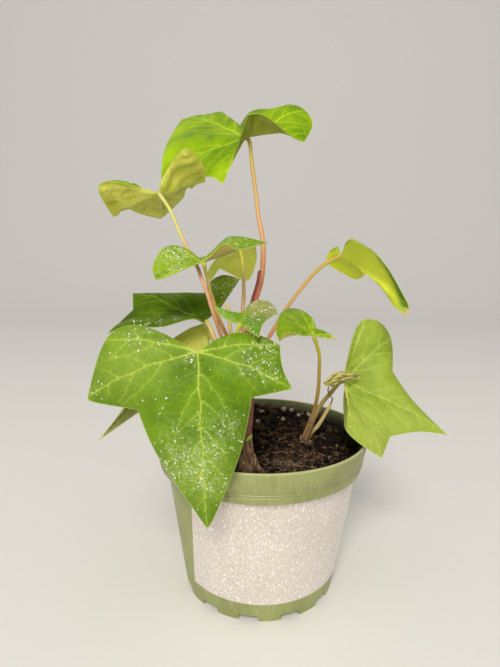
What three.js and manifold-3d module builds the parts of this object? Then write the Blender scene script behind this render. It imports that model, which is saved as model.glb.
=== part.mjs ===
// Potted Algerian ivy: a nursery pot with a label, potting soil, woody stems and leaves on long petioles.
// Millimetres, +Z up. The origin is the centre of the pot's underside, +X is the viewer's right and -Y faces
// the viewer.
import * as THREE from 'three';
import { mergeVertices } from 'three/addons/utils/BufferGeometryUtils.js';
import Module from 'manifold-3d';

// Driving dimensions
const RIM_DIAMETER = 108;
const POT_HEIGHT = 80;
const BAND_HEIGHT = 15.2;
const BODY_TOP_RADIUS = 47.8;
const FOOT_RADIUS = 38.3;
const WALL = 1.3;
const FOOT_HEIGHT = 3;
const SOIL_DEPTH_BELOW_RIM = 8;
const BLADE_THICKNESS = 0.7;
const GAP = 0.3;

// Pot details
const POT_SEGMENTS = 60;
const RIM_RADIUS = RIM_DIAMETER / 2;
const BAND_BOTTOM = POT_HEIGHT - BAND_HEIGHT;
const BAND_BOTTOM_RADIUS = 51.1;
const MOULD_LINE_RADIUS = 51.8;
const MOULD_LINE_RISE = 3.5;
const LIP_WIDTH = 1.5;
const LIP_INNER_RADIUS = 49.8;
const LIP_INNER_HEIGHT = 66;
const FOOT_RING_WIDTH = 2.5;
const FOOT_PAD_RADIUS = 6;
const BASE_THICKNESS = 1.5;
const NOTCH_COUNT = 12;
const NOTCH_WIDTH = 9;
const NOTCH_HEIGHT = 2.8;
const FIRST_NOTCH_DEG = -7;
const DRAIN_COUNT = 5;
const DRAIN_RADIUS = 4;
const DRAIN_CIRCLE_RADIUS = 26;
const DRAIN_SEGMENTS = 16;

// Label: a straight-sided sheet wrapped round the tapering body
const LABEL_THICKNESS = 0.6;
const LABEL_HALF_WIDTH = 45;
const LABEL_CENTRE_DEG = 14;
const LABEL_BOTTOM = 10;
const LABEL_TOP = 64.2;
const LABEL_COLUMNS = 24;
const LABEL_ROWS = 4;
const LABEL_CORNER_RISE = 1.2;

// Soil surface: a disc that rises toward the back, raised and lowered by a few crossed waves
const SOIL_RINGS = 8;
const SOIL_SEGMENTS = 30;
const SOIL_SLOPE = 0.07;
const SOIL_WAVES = [
  { x: 0.11, y: 0.05, shift: 0.4, height: 1.0 },
  { x: -0.07, y: 0.16, shift: 1.9, height: 0.7 },
  { x: 0.31, y: -0.22, shift: 0.8, height: 0.45 },
  { x: 0.17, y: 0.37, shift: 2.6, height: 0.4 },
];

// Mesh steps
const OUTLINE_STEP = 7.5;
const RING_STEP = 16;
const FEWEST_RINGS = 3;
const ROUTE_STEP = 6;
const PETIOLE_SIDES = 7;
const STEM_SIDES = 9;
const ARCH_PEAK = 27 / 4;

// The main stem leans from its woody crown in the soil to the young shoot that ends at the topmost petiole.
// A route point is [x, y, z, radius].
const STEM_MAIN = [
  [-6.5, -32, 62, 5],
  [-6.5, -32, 71, 5.2],
  [-6.5, -31.5, 76, 4.2],
  [-6.5, -31, 82, 2.9],
  [-6, -31, 88, 2.2],
  [-5.5, -30, 95, 1.9],
  [-5, -29, 104, 1.8],
  [-5, -27, 112.5, 1.8],
  [-6.5, -24, 121, 1.7],
  [-7, -19, 129.5, 1.5],
  [-6, -12, 140.5, 1.3],
  [-4, -6, 148, 1.3],
  [-2, -2, 155, 1.4],
  [-1, 0, 160, 1.5],
];
const ROOT_FLARES = [
  [[-5.5, -32, 83, 1.7], [-4, -32.5, 78.5, 1.9], [-1.5, -33, 74, 1.7], [1.5, -33.5, 71, 1.4], [4, -34, 66, 1.2]],
  [[-7, -31.5, 82, 1.8], [-9.5, -32, 76.5, 2], [-12, -32.5, 71.5, 1.8], [-13.5, -33, 66, 1.3]],
  [[-6.5, -31.5, 81, 1.8], [-7, -34.5, 75.5, 2.1], [-7.5, -37.5, 71, 1.8], [-7.5, -38.5, 66, 1.3]],
];
const STEM_RIGHT = [
  [22.2, 0.5, 62, 2.4],
  [22.2, 0.5, 69, 3.1],
  [22.8, 1.5, 75, 2.6],
];
const STUB_CENTRE = [
  [-16, -20, 146, 0.8],
  [-15, -21, 140, 0.9],
  [-14, -22.5, 132.5, 0.9],
  [-11.5, -25, 125.5, 1],
  [-6.5, -24.5, 121.5, 1.2],
];
const STUB_RIGHT = [
  [35.5, 3, 92, 0.9],
  [32.5, 4, 85.5, 1],
  [29.5, 3.6, 80.5, 1.1],
  [26.6, 2.6, 77.5, 1.1],
  [24.2, 1.7, 74.5, 1.2],
];

// Leaves, as chosen by hand from the front view. Each has the point `at` where its petiole meets the blade, an
// outline of offsets from that point, counter-clockwise as seen on its upper side from one side of the notch to
// the other, the outline's sharp `corners`, the bulge `arch` of its surface, and the petiole's route from `at`
// down to the stem as [x, y, z, radius]. `carrier` names the stem that it grows from.
const LEAVES = {
  leaf_front: {
    at: [-24.5, -60, 132],
    outline: [
      [-12.5, 1, 6.5], [-26.5, 3, 9.5], [-36.5, 4, 3.5], [-43.2, 0.2, -18.6], [-42.2, 0, -20.3], [-23.5, -1, -23],
      [-16, -2.5, -40.5], [2, -5.8, -66.4], [4.1, -6, -69], [6.1, -5.8, -66.4], [16.5, -2.5, -40],
      [21, -1, -17.5], [36.6, 0, -14], [32.8, 3, -6.6], [31.8, 6.5, 1.8], [23.5, 8.5, 5.3], [14.2, 7.5, 6.3],
      [6.5, 4, 3.9],
    ],
    corners: [5, 11, 12, 14],
    arch: [0, -3, 1],
    petiole: [[-22.5, -54, 128.5, 0.9], [-16.5, -42, 119.5, 1], [-10.5, -33, 111, 1.1], [-5, -29.5, 107, 1.4]],
    carrier: 'stem_main',
    color: 0x84ac3e,
    roughness: 0.5,
  },
  leaf_right: {
    at: [42, -2, 106.5],
    outline: [
      [-1.4, -4, -7.5], [-2.4, -13, -13.5], [-2, -24, -18.7], [14, -24, -30.5], [19.8, -15, -23.4],
      [35.5, -10, -22.5], [50.5, -6, -25.5], [34, -1, -9.6], [24.5, 5, 4], [24.5, 12, 20], [18, 11, 28.5],
      [9.5, 8, 30],
      [5, 6, 25], [-0.5, 1, 4.5],
    ],
    corners: [3, 4, 6, 8],
    arch: [1, -3, 2],
    petiole: [
      [39.5, -1, 105.5, 1], [35.5, 0, 100, 1.1], [31.5, 0.8, 94.5, 1.1], [28.2, 1, 88, 1.2],
      [25.5, 0.4, 81, 1.2], [24.3, -0.1, 77.5, 1.2], [23.2, -0.3, 74.5, 1.3],
    ],
    carrier: 'stem_right',
    color: 0x98bb55,
    roughness: 0.5,
  },
  leaf_upright: {
    at: [39.5, 12, 168.5],
    outline: [
      [0.5, -10, 6], [1, -23, 7.5], [14, -27, -1.5], [25.2, -31.2, -19.5], [26.8, -32, -23.8], [25.7, -32, -27.2],
      [21.2, -25, -23], [17.2, -15, -14], [12, -8, -7], [10.5, 10, -13], [1.5, 12, -9], [-6, 10, -4],
      [-5.5, 6, 1.5], [-2.5, 2, 3.5],
    ],
    corners: [1, 5, 6, 8],
    arch: [1, 0, 2],
    petiole: [
      [34.5, 13.5, 165.5, 0.9], [29.5, 15, 162, 1], [19.5, 17.5, 150, 1], [11, 19, 137.5, 1],
      [4.5, 13, 127, 1.1], [-1.5, -6, 122, 1.1], [-6.5, -22, 121.5, 1.3],
    ],
    carrier: 'stem_main',
    color: 0x9fc046,
    roughness: 0.5,
  },
  leaf_top: {
    at: [-9, 12, 225.5],
    outline: [
      [1, -16, 6], [8.5, -20, 5], [22.5, -10, -2.5], [28, -7, -4], [32.5, 1, 6], [29.5, 6, 13.5],
      [23, 10, 17.5], [15, 12, 16], [1, 18, 15], [-5, 26, 8.5], [-18.5, 42, 21], [-25, 48, 22.5],
      [-40.5, 55, 21.5], [-44.5, 21, -2], [-44, 6, -19.5], [-17, -12, -21], [-10.5, -16, -25],
      [-7.5, -13, -17.5], [-2, -5, -4],
    ],
    corners: [3, 9, 12, 14, 16],
    arch: [0, 0, 3],
    petiole: [
      [-7.5, 11, 223, 0.9], [-6, 9, 211.5, 1], [-4, 7, 197.5, 1], [-2.5, 5, 186.5, 1.1],
      [-0.5, 3, 176.5, 1.2], [0, 1.5, 169.5, 1.3], [-1, 0, 160, 1.5],
    ],
    carrier: 'stem_main',
    color: 0x86bb25,
    roughness: 0.5,
  },
  leaf_upleft: {
    at: [-48, -12, 196],
    outline: [
      [3, -3, 6.5], [14, -10, 17.5], [20.5, -2, 12.5], [20.5, 10, 6], [10, 22, 4.5], [6, 32, 0.5],
      [-9, 48, -9], [-18, 33, -7], [-21.5, 26, -5.5], [-26, 16, -10], [-28, 0, 1], [-23.5, -4, 4],
      [-12, -3.5, 2.5],
    ],
    corners: [3, 6, 9],
    arch: [0, 0, 1.8],
    petiole: [
      [-43, -12.5, 188.5, 0.9], [-37, -16, 176, 1], [-31.5, -20.5, 166.5, 1], [-28.5, -25, 162, 1],
      [-26.5, -28.5, 158.5, 1.1], [-23, -30, 152.5, 1.1], [-20, -31.5, 142.5, 1.1], [-17.5, -31, 133, 1.1],
      [-12, -29.5, 122.5, 1.1], [-5.5, -26.5, 114.5, 1.3],
    ],
    carrier: 'stem_main',
    color: 0xa8ab3c,
    roughness: 0.55,
  },
  leaf_twist: {
    at: [-25, -34, 165.5],
    outline: [
      [4, -4, 3], [10, -9, 7.5], [14.5, -6, 5], [22.5, 4, 7], [27.5, 12, 8], [14.5, 14, 11], [8, 22, 10],
      [0, 35, 1.5], [-5, 6.5, 0.5], [-9.4, 8.5, 4.9], [-14, 7, 6.7], [-18.5, 3, 4.9], [-21, -4, -2.5],
      [-18.5, -10, -7.5], [-12, -8, -5.5], [-4, -4, -1.5],
    ],
    corners: [4, 7, 8, 13],
    arch: [0, 0, 1],
    petiole: [
      [-25, -32, 163.5, 0.9], [-25, -29, 162, 0.9], [-24.5, -26, 159, 0.9], [-23.5, -23.5, 152.5, 0.9],
      [-22, -22, 147, 1], [-20, -21.5, 140.5, 1], [-16, -20.5, 131.5, 1], [-11.5, -21, 124, 1.1],
      [-6.5, -24.5, 118, 1.3],
    ],
    carrier: 'stem_main',
    color: 0x7fa63c,
    roughness: 0.5,
  },
  leaf_pale: {
    at: [-11.5, 5, 170],
    outline: [
      [8, 3, 2], [8, 15, -5.5], [4.5, 26, -15], [1.5, 29, -16.5], [-7.5, 19, -11.5], [-11.5, 11, -9],
      [-15.5, 6, -15.5], [-16, 1, -10], [-12, -3, -5], [-5.5, -4, -2.5],
    ],
    corners: [5, 6],
    arch: [0, 0, 2],
    petiole: [
      [-10.5, 2, 167, 0.8], [-9.5, -3, 158.5, 0.8], [-9, -7.5, 149.5, 0.9], [-9.5, -12, 140, 0.9],
      [-9.5, -14.5, 135, 1], [-7, -17, 131.5, 1.2],
    ],
    carrier: 'stem_main',
    color: 0xa9c06a,
    roughness: 0.55,
  },
  leaf_left: {
    at: [-26, -18, 138],
    outline: [
      [6, 9.5, 5], [14.5, 24, 18], [6, 26, 20], [-0.5, 26, 16.5], [-1.5, 22, 11], [-15, 22, 11], [-38, 16, 11],
      [-35.5, 6, 4], [-44, -7, -5.5], [-35.5, -10, -2], [-18, -13, -1], [-5.5, -9, 2], [-1, -4, -0.5],
    ],
    corners: [1, 4, 6, 7, 8],
    arch: [0, 0, 2],
    petiole: [
      [-23.5, -24, 136, 0.9], [-21.5, -26, 132, 1], [-19.5, -27, 128.5, 1], [-13.5, -27.5, 119, 1.1],
      [-5.5, -27.5, 111, 1.3],
    ],
    carrier: 'stem_main',
    color: 0x4d8414,
    roughness: 0.35,
  },
  leaf_centre: {
    at: [-9, -44, 141],
    outline: [
      [1.5, -5, -1.5], [8, -18, -3], [10, -8, 1.5], [15.5, 0, 4], [12, 8, 8], [6, 11, 8], [1, 8, 2.5],
      [-5.5, 6, 3.5], [-11.5, 4, 6], [-7.5, 2, 2], [-3, 0, 0],
    ],
    corners: [1, 3, 6, 8],
    arch: [0, 0, 1.5],
    petiole: [[-9.5, -43, 139, 0.8], [-11, -41, 135, 0.9], [-10, -33, 130.5, 1], [-7, -21.5, 126.5, 1.2]],
    carrier: 'stem_main',
    color: 0x7d9a45,
    roughness: 0.55,
  },
  leaf_small: {
    at: [25.5, 0, 129],
    outline: [
      [5.5, -3, -1], [12, -2, -2], [8, 1, 0], [2, 6, 1], [0, 14, 7], [-7.5, 20, 11], [-16, 8, 10.5],
      [-19, -9, 3], [-17.5, -13, -1], [-15, -15, 3.5], [-6, -7, 0.5],
    ],
    corners: [1, 3, 8],
    arch: [0, 0, 2],
    petiole: [
      [27, 1, 125, 0.9], [29, 3, 118.5, 0.9], [29.5, 5, 109.5, 0.9], [29.5, 6.5, 99, 1], [27.8, 7, 88, 1],
      [25, 5.4, 80.5, 1.1], [23.7, 4.3, 77.5, 1.1], [22.6, 3.3, 74.5, 1.2],
    ],
    carrier: 'stem_right',
    color: 0x7fb32c,
    roughness: 0.5,
  },
  leaf_hidden: {
    at: [-27.5, -9, 135.5],
    outline: [
      [1.5, 0, -1], [3, -1, -5], [2.5, -4, -10.5], [5.5, -11, -22.5], [0.5, -16, -34], [-9.5, -18, -32.5],
      [-19, -23, -45.5], [-24, -22, -35], [-44.5, -29, -49], [-35, -24, -36.5], [-28.5, -15, -23.5],
      [-18.5, -5, -10], [-7.5, 1, -2.5],
    ],
    corners: [4, 5, 6, 7, 8],
    arch: [0, 0, 0],
    petiole: [
      [-25.5, -12, 132.5, 0.9], [-22.5, -15, 128, 1], [-17.5, -19, 120, 1], [-10.5, -23.5, 109, 1.1],
      [-4.5, -28.5, 102.5, 1.4],
    ],
    carrier: 'stem_main',
    color: 0x7c9440,
    roughness: 0.55,
  },
  leaf_withered: {
    at: [37.5, -8, 108],
    outline: [
      [-3, -3, -3], [1.5, -4, 1], [9, -1, 0.5], [10.5, 2, 2.5], [4.5, -1, 5.5], [-1, 3, 3.5], [-7.5, -1, -1],
      [-6, 1, -3.5],
    ],
    corners: [],
    arch: [0, 0, 0],
    petiole: [[32.5, -7.5, 105, 0.5], [33, -5.5, 102, 0.45], [35.5, -2, 97, 0.45], [35.5, 3, 92.2, 0.6]],
    carrier: 'stub_right',
    color: 0x7a6a38,
    roughness: 0.8,
  },
};

// Colours and roughnesses of what isn't a leaf
const POT_PLASTIC = { color: 0x9aa363, roughness: 0.45 };
const LABEL_PAPER = { color: 0xd8d0c0, roughness: 0.5 };
const POTTING_SOIL = { color: 0x2a211a, roughness: 0.95 };
const BARK = { color: 0x7a5a44, roughness: 0.8 };
const CUT_STALK = { color: 0xb7a866, roughness: 0.6 };

const wasm = await Module();
wasm.setup();

// A geometry whose shared corners are merged, with position only.
function bareGeometry(geometry) {
  const bare = geometry.clone();
  bare.deleteAttribute('normal');
  bare.deleteAttribute('uv');
  return mergeVertices(bare);
}

function solidFrom(geometry) {
  const bare = bareGeometry(geometry);
  return new wasm.Manifold(new wasm.Mesh({
    numProp: 3,
    vertProperties: new Float32Array(bare.attributes.position.array),
    triVerts: new Uint32Array(bare.index.array),
  }));
}

function geometryFrom(solid) {
  const mesh = solid.getMesh();
  const geometry = new THREE.BufferGeometry();
  geometry.setAttribute('position', new THREE.BufferAttribute(new Float32Array(mesh.vertProperties), 3));
  geometry.setIndex(new THREE.BufferAttribute(new Uint32Array(mesh.triVerts), 1));
  geometry.computeVertexNormals();
  return geometry;
}

function indexedGeometry(points, triangles) {
  const geometry = new THREE.BufferGeometry();
  geometry.setAttribute('position', new THREE.Float32BufferAttribute(points.flatMap((p) => p.toArray()), 3));
  geometry.setIndex(triangles.flat());
  return geometry;
}

function vector(list) {
  return new THREE.Vector3(list[0], list[1], list[2]);
}

// A turning direction, from the front of the pot and growing toward +X.
function frontAngle(degrees) {
  return THREE.MathUtils.degToRad(degrees - 90);
}

// The outer radius of the pot's tapering body.
function bodyRadius(z) {
  return THREE.MathUtils.mapLinear(z, 0, BAND_BOTTOM, FOOT_RADIUS, BODY_TOP_RADIUS);
}

// The pot is one turned shell with a small centre foot, a notched foot ring and drain holes.
function makePot() {
  const baseTop = FOOT_HEIGHT + BASE_THICKNESS;
  const profile = [
    [0, 0],
    [FOOT_PAD_RADIUS, 0],
    [FOOT_PAD_RADIUS, FOOT_HEIGHT],
    [FOOT_RADIUS - FOOT_RING_WIDTH, FOOT_HEIGHT],
    [FOOT_RADIUS - FOOT_RING_WIDTH, 0],
    [FOOT_RADIUS, 0],
    [BODY_TOP_RADIUS, BAND_BOTTOM],
    [BAND_BOTTOM_RADIUS, BAND_BOTTOM],
    [MOULD_LINE_RADIUS, BAND_BOTTOM + MOULD_LINE_RISE],
    [RIM_RADIUS, POT_HEIGHT],
    [RIM_RADIUS - LIP_WIDTH, POT_HEIGHT],
    [LIP_INNER_RADIUS, LIP_INNER_HEIGHT],
    [bodyRadius(BAND_BOTTOM - WALL) - WALL, BAND_BOTTOM - WALL],
    [bodyRadius(baseTop) - WALL, baseTop],
    [0, baseTop],
  ].map(([r, z]) => new THREE.Vector2(r, z));
  const turned = new THREE.LatheGeometry(profile, POT_SEGMENTS);
  turned.rotateX(Math.PI / 2);
  let pot = solidFrom(turned);
  for (let i = 0; i < NOTCH_COUNT; i += 1) {
    const notch = new THREE.BoxGeometry(3 * FOOT_RING_WIDTH, NOTCH_WIDTH, 2 * NOTCH_HEIGHT);
    notch.translate(FOOT_RADIUS - FOOT_RING_WIDTH / 2, 0, 0);
    notch.rotateZ(frontAngle(FIRST_NOTCH_DEG + (i * 360) / NOTCH_COUNT));
    pot = pot.subtract(solidFrom(notch));
  }
  for (let i = 0; i < DRAIN_COUNT; i += 1) {
    const hole = new THREE.CylinderGeometry(DRAIN_RADIUS, DRAIN_RADIUS, 2 * baseTop, DRAIN_SEGMENTS);
    hole.rotateX(Math.PI / 2);
    hole.translate(DRAIN_CIRCLE_RADIUS, 0, baseTop);
    hole.rotateZ(frontAngle((i * 360) / DRAIN_COUNT));
    pot = pot.subtract(solidFrom(hole));
  }
  return pot;
}

// The label is a sheet between two offsets of the body, whose straight sides lean with the taper.
function makeLabel() {
  const sheet = [];
  for (const offset of [GAP + LABEL_THICKNESS, GAP]) {
    for (let row = 0; row <= LABEL_ROWS; row += 1) {
      for (let column = 0; column <= LABEL_COLUMNS; column += 1) {
        const across = (2 * column) / LABEL_COLUMNS - 1;
        const bottom = LABEL_BOTTOM + LABEL_CORNER_RISE * across * across;
        const z = THREE.MathUtils.lerp(bottom, LABEL_TOP, row / LABEL_ROWS);
        const angle = frontAngle(LABEL_CENTRE_DEG) + (across * LABEL_HALF_WIDTH) / bodyRadius(z);
        const radius = bodyRadius(z) + offset;
        sheet.push(new THREE.Vector3(radius * Math.cos(angle), radius * Math.sin(angle), z));
      }
    }
  }
  const width = LABEL_COLUMNS + 1;
  const triangles = [];
  const loop = [];
  for (let row = 0; row < LABEL_ROWS; row += 1) {
    for (let column = 0; column < LABEL_COLUMNS; column += 1) {
      const a = row * width + column;
      triangles.push([a, a + 1, a + width + 1], [a, a + width + 1, a + width]);
    }
  }
  for (let column = 0; column < LABEL_COLUMNS; column += 1) loop.push(column);
  for (let row = 0; row < LABEL_ROWS; row += 1) loop.push(row * width + LABEL_COLUMNS);
  for (let column = LABEL_COLUMNS; column > 0; column -= 1) loop.push(LABEL_ROWS * width + column);
  for (let row = LABEL_ROWS; row > 0; row -= 1) loop.push(row * width);
  return solidFrom(closedSheet(sheet, triangles, loop));
}

// Closes a sheet: `points` holds the outer face's points and then the inner face's, in the same order,
// `triangles` those of the outer face and `loop` the outer face's rim, walked with the face on its left.
function closedSheet(points, triangles, loop) {
  const half = points.length / 2;
  const closed = triangles.flatMap(([a, b, c]) => [[a, b, c], [a + half, c + half, b + half]]);
  loop.forEach((a, i) => {
    const b = loop[(i + 1) % loop.length];
    closed.push([a, a + half, b + half], [a, b + half, b]);
  });
  return indexedGeometry(points, closed);
}

function soilHeight(x, y) {
  const level = POT_HEIGHT - SOIL_DEPTH_BELOW_RIM + SOIL_SLOPE * y;
  const lumps = SOIL_WAVES.map((wave) => wave.height * Math.sin(wave.x * x + wave.y * y + wave.shift));
  return lumps.reduce((sum, lump) => sum + lump, level);
}

// Soil fills the pot up to a lumpy surface.
function makeSoil() {
  const bottom = FOOT_HEIGHT + BASE_THICKNESS + GAP;
  const shelf = BAND_BOTTOM - WALL + GAP;
  const side = [
    [LIP_INNER_RADIUS - GAP, LIP_INNER_HEIGHT + GAP],
    [bodyRadius(shelf) - WALL - GAP, shelf],
    [bodyRadius(bottom) - WALL - GAP, bottom],
  ];
  const points = [new THREE.Vector3(0, 0, soilHeight(0, 0))];
  const rings = [];
  const addRing = (place) => {
    const ring = [];
    for (let i = 0; i < SOIL_SEGMENTS; i += 1) {
      const angle = (i / SOIL_SEGMENTS) * 2 * Math.PI;
      ring.push(points.push(place(Math.cos(angle), Math.sin(angle))) - 1);
    }
    rings.push(ring);
  };
  const edge = LIP_INNER_RADIUS - GAP;
  for (let i = 1; i <= SOIL_RINGS; i += 1) {
    const radius = (edge * i) / SOIL_RINGS;
    addRing((x, y) => new THREE.Vector3(radius * x, radius * y, soilHeight(radius * x, radius * y)));
  }
  for (const [radius, z] of side) addRing((x, y) => new THREE.Vector3(radius * x, radius * y, z));
  const foot = points.push(new THREE.Vector3(0, 0, bottom)) - 1;
  const triangles = [];
  const last = rings.length - 1;
  for (let i = 0; i < SOIL_SEGMENTS; i += 1) {
    const j = (i + 1) % SOIL_SEGMENTS;
    triangles.push([0, rings[0][i], rings[0][j]], [foot, rings[last][j], rings[last][i]]);
    for (let r = 0; r < last; r += 1) {
      const inner = rings[r];
      const outer = rings[r + 1];
      triangles.push([inner[i], outer[i], outer[j]], [inner[i], outer[j], inner[j]]);
    }
  }
  return solidFrom(indexedGeometry(points, triangles));
}

// A stalk is a closed round tube along a smooth route of [x, y, z, radius] points, `grow` thicker all round.
function makeStalk(route, sides, grow = 0) {
  const curve = new THREE.CatmullRomCurve3(route.map(vector), false, 'centripetal');
  const spans = route.length - 1;
  const count = Math.max(spans, Math.round(curve.getLength() / ROUTE_STEP));
  const tangent = new THREE.Vector3();
  const side = new THREE.Vector3(1, 0, 0);
  const points = [];
  const triangles = [];
  for (let i = 0; i <= count; i += 1) {
    const t = i / count;
    const span = Math.min(spans - 1, Math.floor(t * spans));
    const radius = THREE.MathUtils.lerp(route[span][3], route[span + 1][3], t * spans - span) + grow;
    const centre = curve.getPoint(t);
    curve.getTangent(t, tangent);
    if (i === 0) centre.addScaledVector(tangent, -grow);
    if (i === count) centre.addScaledVector(tangent, grow);
    side.addScaledVector(tangent, -side.dot(tangent)).normalize();
    const up = new THREE.Vector3().crossVectors(tangent, side);
    for (let k = 0; k < sides; k += 1) {
      const angle = (2 * Math.PI * k) / sides;
      const point = centre.clone().addScaledVector(side, radius * Math.cos(angle));
      points.push(point.addScaledVector(up, radius * Math.sin(angle)));
    }
  }
  for (let i = 0; i < count; i += 1) {
    for (let k = 0; k < sides; k += 1) {
      const a = i * sides + k;
      const b = i * sides + ((k + 1) % sides);
      triangles.push([a, b, b + sides], [a, b + sides, a + sides]);
    }
  }
  const start = points.push(curve.getPoint(0).addScaledVector(curve.getTangent(0), -grow)) - 1;
  const end = points.push(curve.getPoint(1).addScaledVector(curve.getTangent(1), grow)) - 1;
  for (let k = 0; k < sides; k += 1) {
    const next = (k + 1) % sides;
    triangles.push([start, next, k], [end, count * sides + k, count * sides + next]);
  }
  return solidFrom(indexedGeometry(points, triangles));
}

// The smooth outline through a leaf's hand-set points, straight-ended at its corners.
function outlineCurve(leaf) {
  const knots = leaf.outline.map(vector);
  const lengths = knots.slice(1).map((knot, i) => knot.distanceTo(knots[i]));
  const slopes = lengths.map((length, i) => knots[i + 1].clone().sub(knots[i]).divideScalar(length));
  const isEnd = (i) => i === 0 || i === knots.length - 1 || leaf.corners.includes(i);
  const through = (i) => knots[i + 1].clone().sub(knots[i - 1]).divideScalar(lengths[i - 1] + lengths[i]);
  const leave = (i) => {
    if (!isEnd(i)) return through(i);
    if (isEnd(i + 1)) return slopes[i].clone();
    return slopes[i].clone().multiplyScalar(1.5).addScaledVector(through(i + 1), -0.5);
  };
  const arrive = (i) => {
    if (!isEnd(i)) return through(i);
    if (isEnd(i - 1)) return slopes[i - 1].clone();
    return slopes[i - 1].clone().multiplyScalar(1.5).addScaledVector(through(i - 1), -0.5);
  };
  const points = [knots[0].clone()];
  for (let i = 0; i < lengths.length; i += 1) {
    const count = Math.max(2, Math.round(lengths[i] / OUTLINE_STEP));
    for (let k = 1; k <= count; k += 1) {
      const t = k / count;
      const point = knots[i].clone().multiplyScalar(2 * t ** 3 - 3 * t ** 2 + 1);
      point.addScaledVector(leave(i), lengths[i] * (t ** 3 - 2 * t ** 2 + t));
      point.addScaledVector(knots[i + 1], 3 * t ** 2 - 2 * t ** 3);
      point.addScaledVector(arrive(i + 1), lengths[i] * (t ** 3 - t ** 2));
      points.push(point);
    }
  }
  return points;
}

// The direction that a leaf's upper side faces on average.
function leafNormal(leaf) {
  const knots = leaf.outline.map(vector);
  const normal = new THREE.Vector3();
  for (let i = 1; i < knots.length; i += 1) {
    normal.add(new THREE.Vector3().crossVectors(knots[i - 1], knots[i]));
  }
  return normal.normalize();
}

// A blade spans straight lines from the petiole to the outline, rounded off near the petiole and bulged by its
// arch, and has the same thickness all over.
function makeBlade(leaf) {
  const at = vector(leaf.at);
  const arch = vector(leaf.arch);
  const normal = leafNormal(leaf);
  const outline = outlineCurve(leaf);
  const longest = Math.max(...outline.map((reach) => reach.length()));
  const rings = Math.max(FEWEST_RINGS, Math.round(longest / RING_STEP));
  const middle = [at];
  for (let ring = 1; ring <= rings; ring += 1) {
    const s = ring / rings;
    for (const reach of outline) {
      const rise = reach.dot(normal);
      const point = at.clone().addScaledVector(reach, s);
      point.addScaledVector(normal, -rise * s * (1 - s) ** 3);
      middle.push(point.addScaledVector(arch, ARCH_PEAK * s * s * (1 - s)));
    }
  }
  const width = outline.length;
  const index = (ring, column) => 1 + ring * width + column;
  const triangles = [];
  for (let column = 0; column < width - 1; column += 1) {
    triangles.push([0, index(0, column), index(0, column + 1)]);
    for (let ring = 1; ring < rings; ring += 1) {
      const inner = index(ring - 1, column);
      const outer = index(ring, column);
      triangles.push([inner, outer, outer + 1], [inner, outer + 1, inner + 1]);
    }
  }
  const outer = rings - 1;
  const loop = [0];
  for (let ring = 0; ring < outer; ring += 1) loop.push(index(ring, 0));
  for (let column = 0; column < width; column += 1) loop.push(index(outer, column));
  for (let ring = outer - 1; ring >= 0; ring -= 1) loop.push(index(ring, width - 1));
  const surface = indexedGeometry(middle, triangles);
  surface.computeVertexNormals();
  const facing = new THREE.Vector3();
  const faces = [BLADE_THICKNESS / 2, -BLADE_THICKNESS / 2].flatMap((offset) => middle.map((point, i) => {
    facing.fromBufferAttribute(surface.attributes.normal, i);
    return point.clone().addScaledVector(facing, offset);
  }));
  return solidFrom(closedSheet(faces, triangles, loop));
}

// The biggest of the separate lumps that a cut leaves.
function largestLump(solid) {
  const lumps = solid.decompose();
  return lumps.reduce((best, lump) => (lump.volume() > best.volume() ? lump : best));
}

// A leaf is its blade and petiole grown together, ending a gap short of the stem that carries it.
function makeLeaf(leaf, carrier) {
  const petiole = makeStalk([[...leaf.at, leaf.petiole[0][3]], ...leaf.petiole], PETIOLE_SIDES);
  return largestLump(makeBlade(leaf).add(petiole).subtract(carrier));
}

function makeMainStem(grow) {
  const flares = ROOT_FLARES.map((route) => makeStalk(route, PETIOLE_SIDES, grow));
  return flares.reduce((stem, flare) => stem.add(flare), makeStalk(STEM_MAIN, STEM_SIDES, grow));
}

const carriers = {
  stem_main: makeMainStem(GAP),
  stem_right: makeStalk(STEM_RIGHT, STEM_SIDES, GAP),
  stub_right: makeStalk(STUB_RIGHT, PETIOLE_SIDES, GAP),
};

const plant = new THREE.Group();

function addPart(name, solid, { color, roughness }) {
  const material = new THREE.MeshStandardMaterial({ color, roughness, metalness: 0 });
  const mesh = new THREE.Mesh(geometryFrom(solid), material);
  mesh.name = name;
  plant.add(mesh);
}

const soil = makeSoil().subtract(carriers.stem_main).subtract(carriers.stem_right);
const stubCentre = makeStalk(STUB_CENTRE, PETIOLE_SIDES).subtract(carriers.stem_main);
const stubRight = makeStalk(STUB_RIGHT, PETIOLE_SIDES).subtract(carriers.stem_right);
addPart('pot', makePot(), POT_PLASTIC);
addPart('label', makeLabel(), LABEL_PAPER);
addPart('soil', soil, POTTING_SOIL);
addPart('stem_main', makeMainStem(0), BARK);
addPart('stem_right', makeStalk(STEM_RIGHT, STEM_SIDES), BARK);
addPart('stub_centre', stubCentre, CUT_STALK);
addPart('stub_right', stubRight, CUT_STALK);
for (const [name, leaf] of Object.entries(LEAVES)) {
  addPart(name, makeLeaf(leaf, carriers[leaf.carrier]), leaf);
}

export default plant;
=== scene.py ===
"""A young Algerian ivy in its nursery pot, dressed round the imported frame.

Shapes are worked out in millimetres and written to meshes in metres. +Z is up, -Y faces the viewer, and the
origin is the centre of the pot's underside, as in the frame.
"""
import math

import bmesh
import bpy
import numpy as np
from mathutils import Euler, Matrix, Vector, noise
from mathutils.geometry import delaunay_2d_cdt


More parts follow.
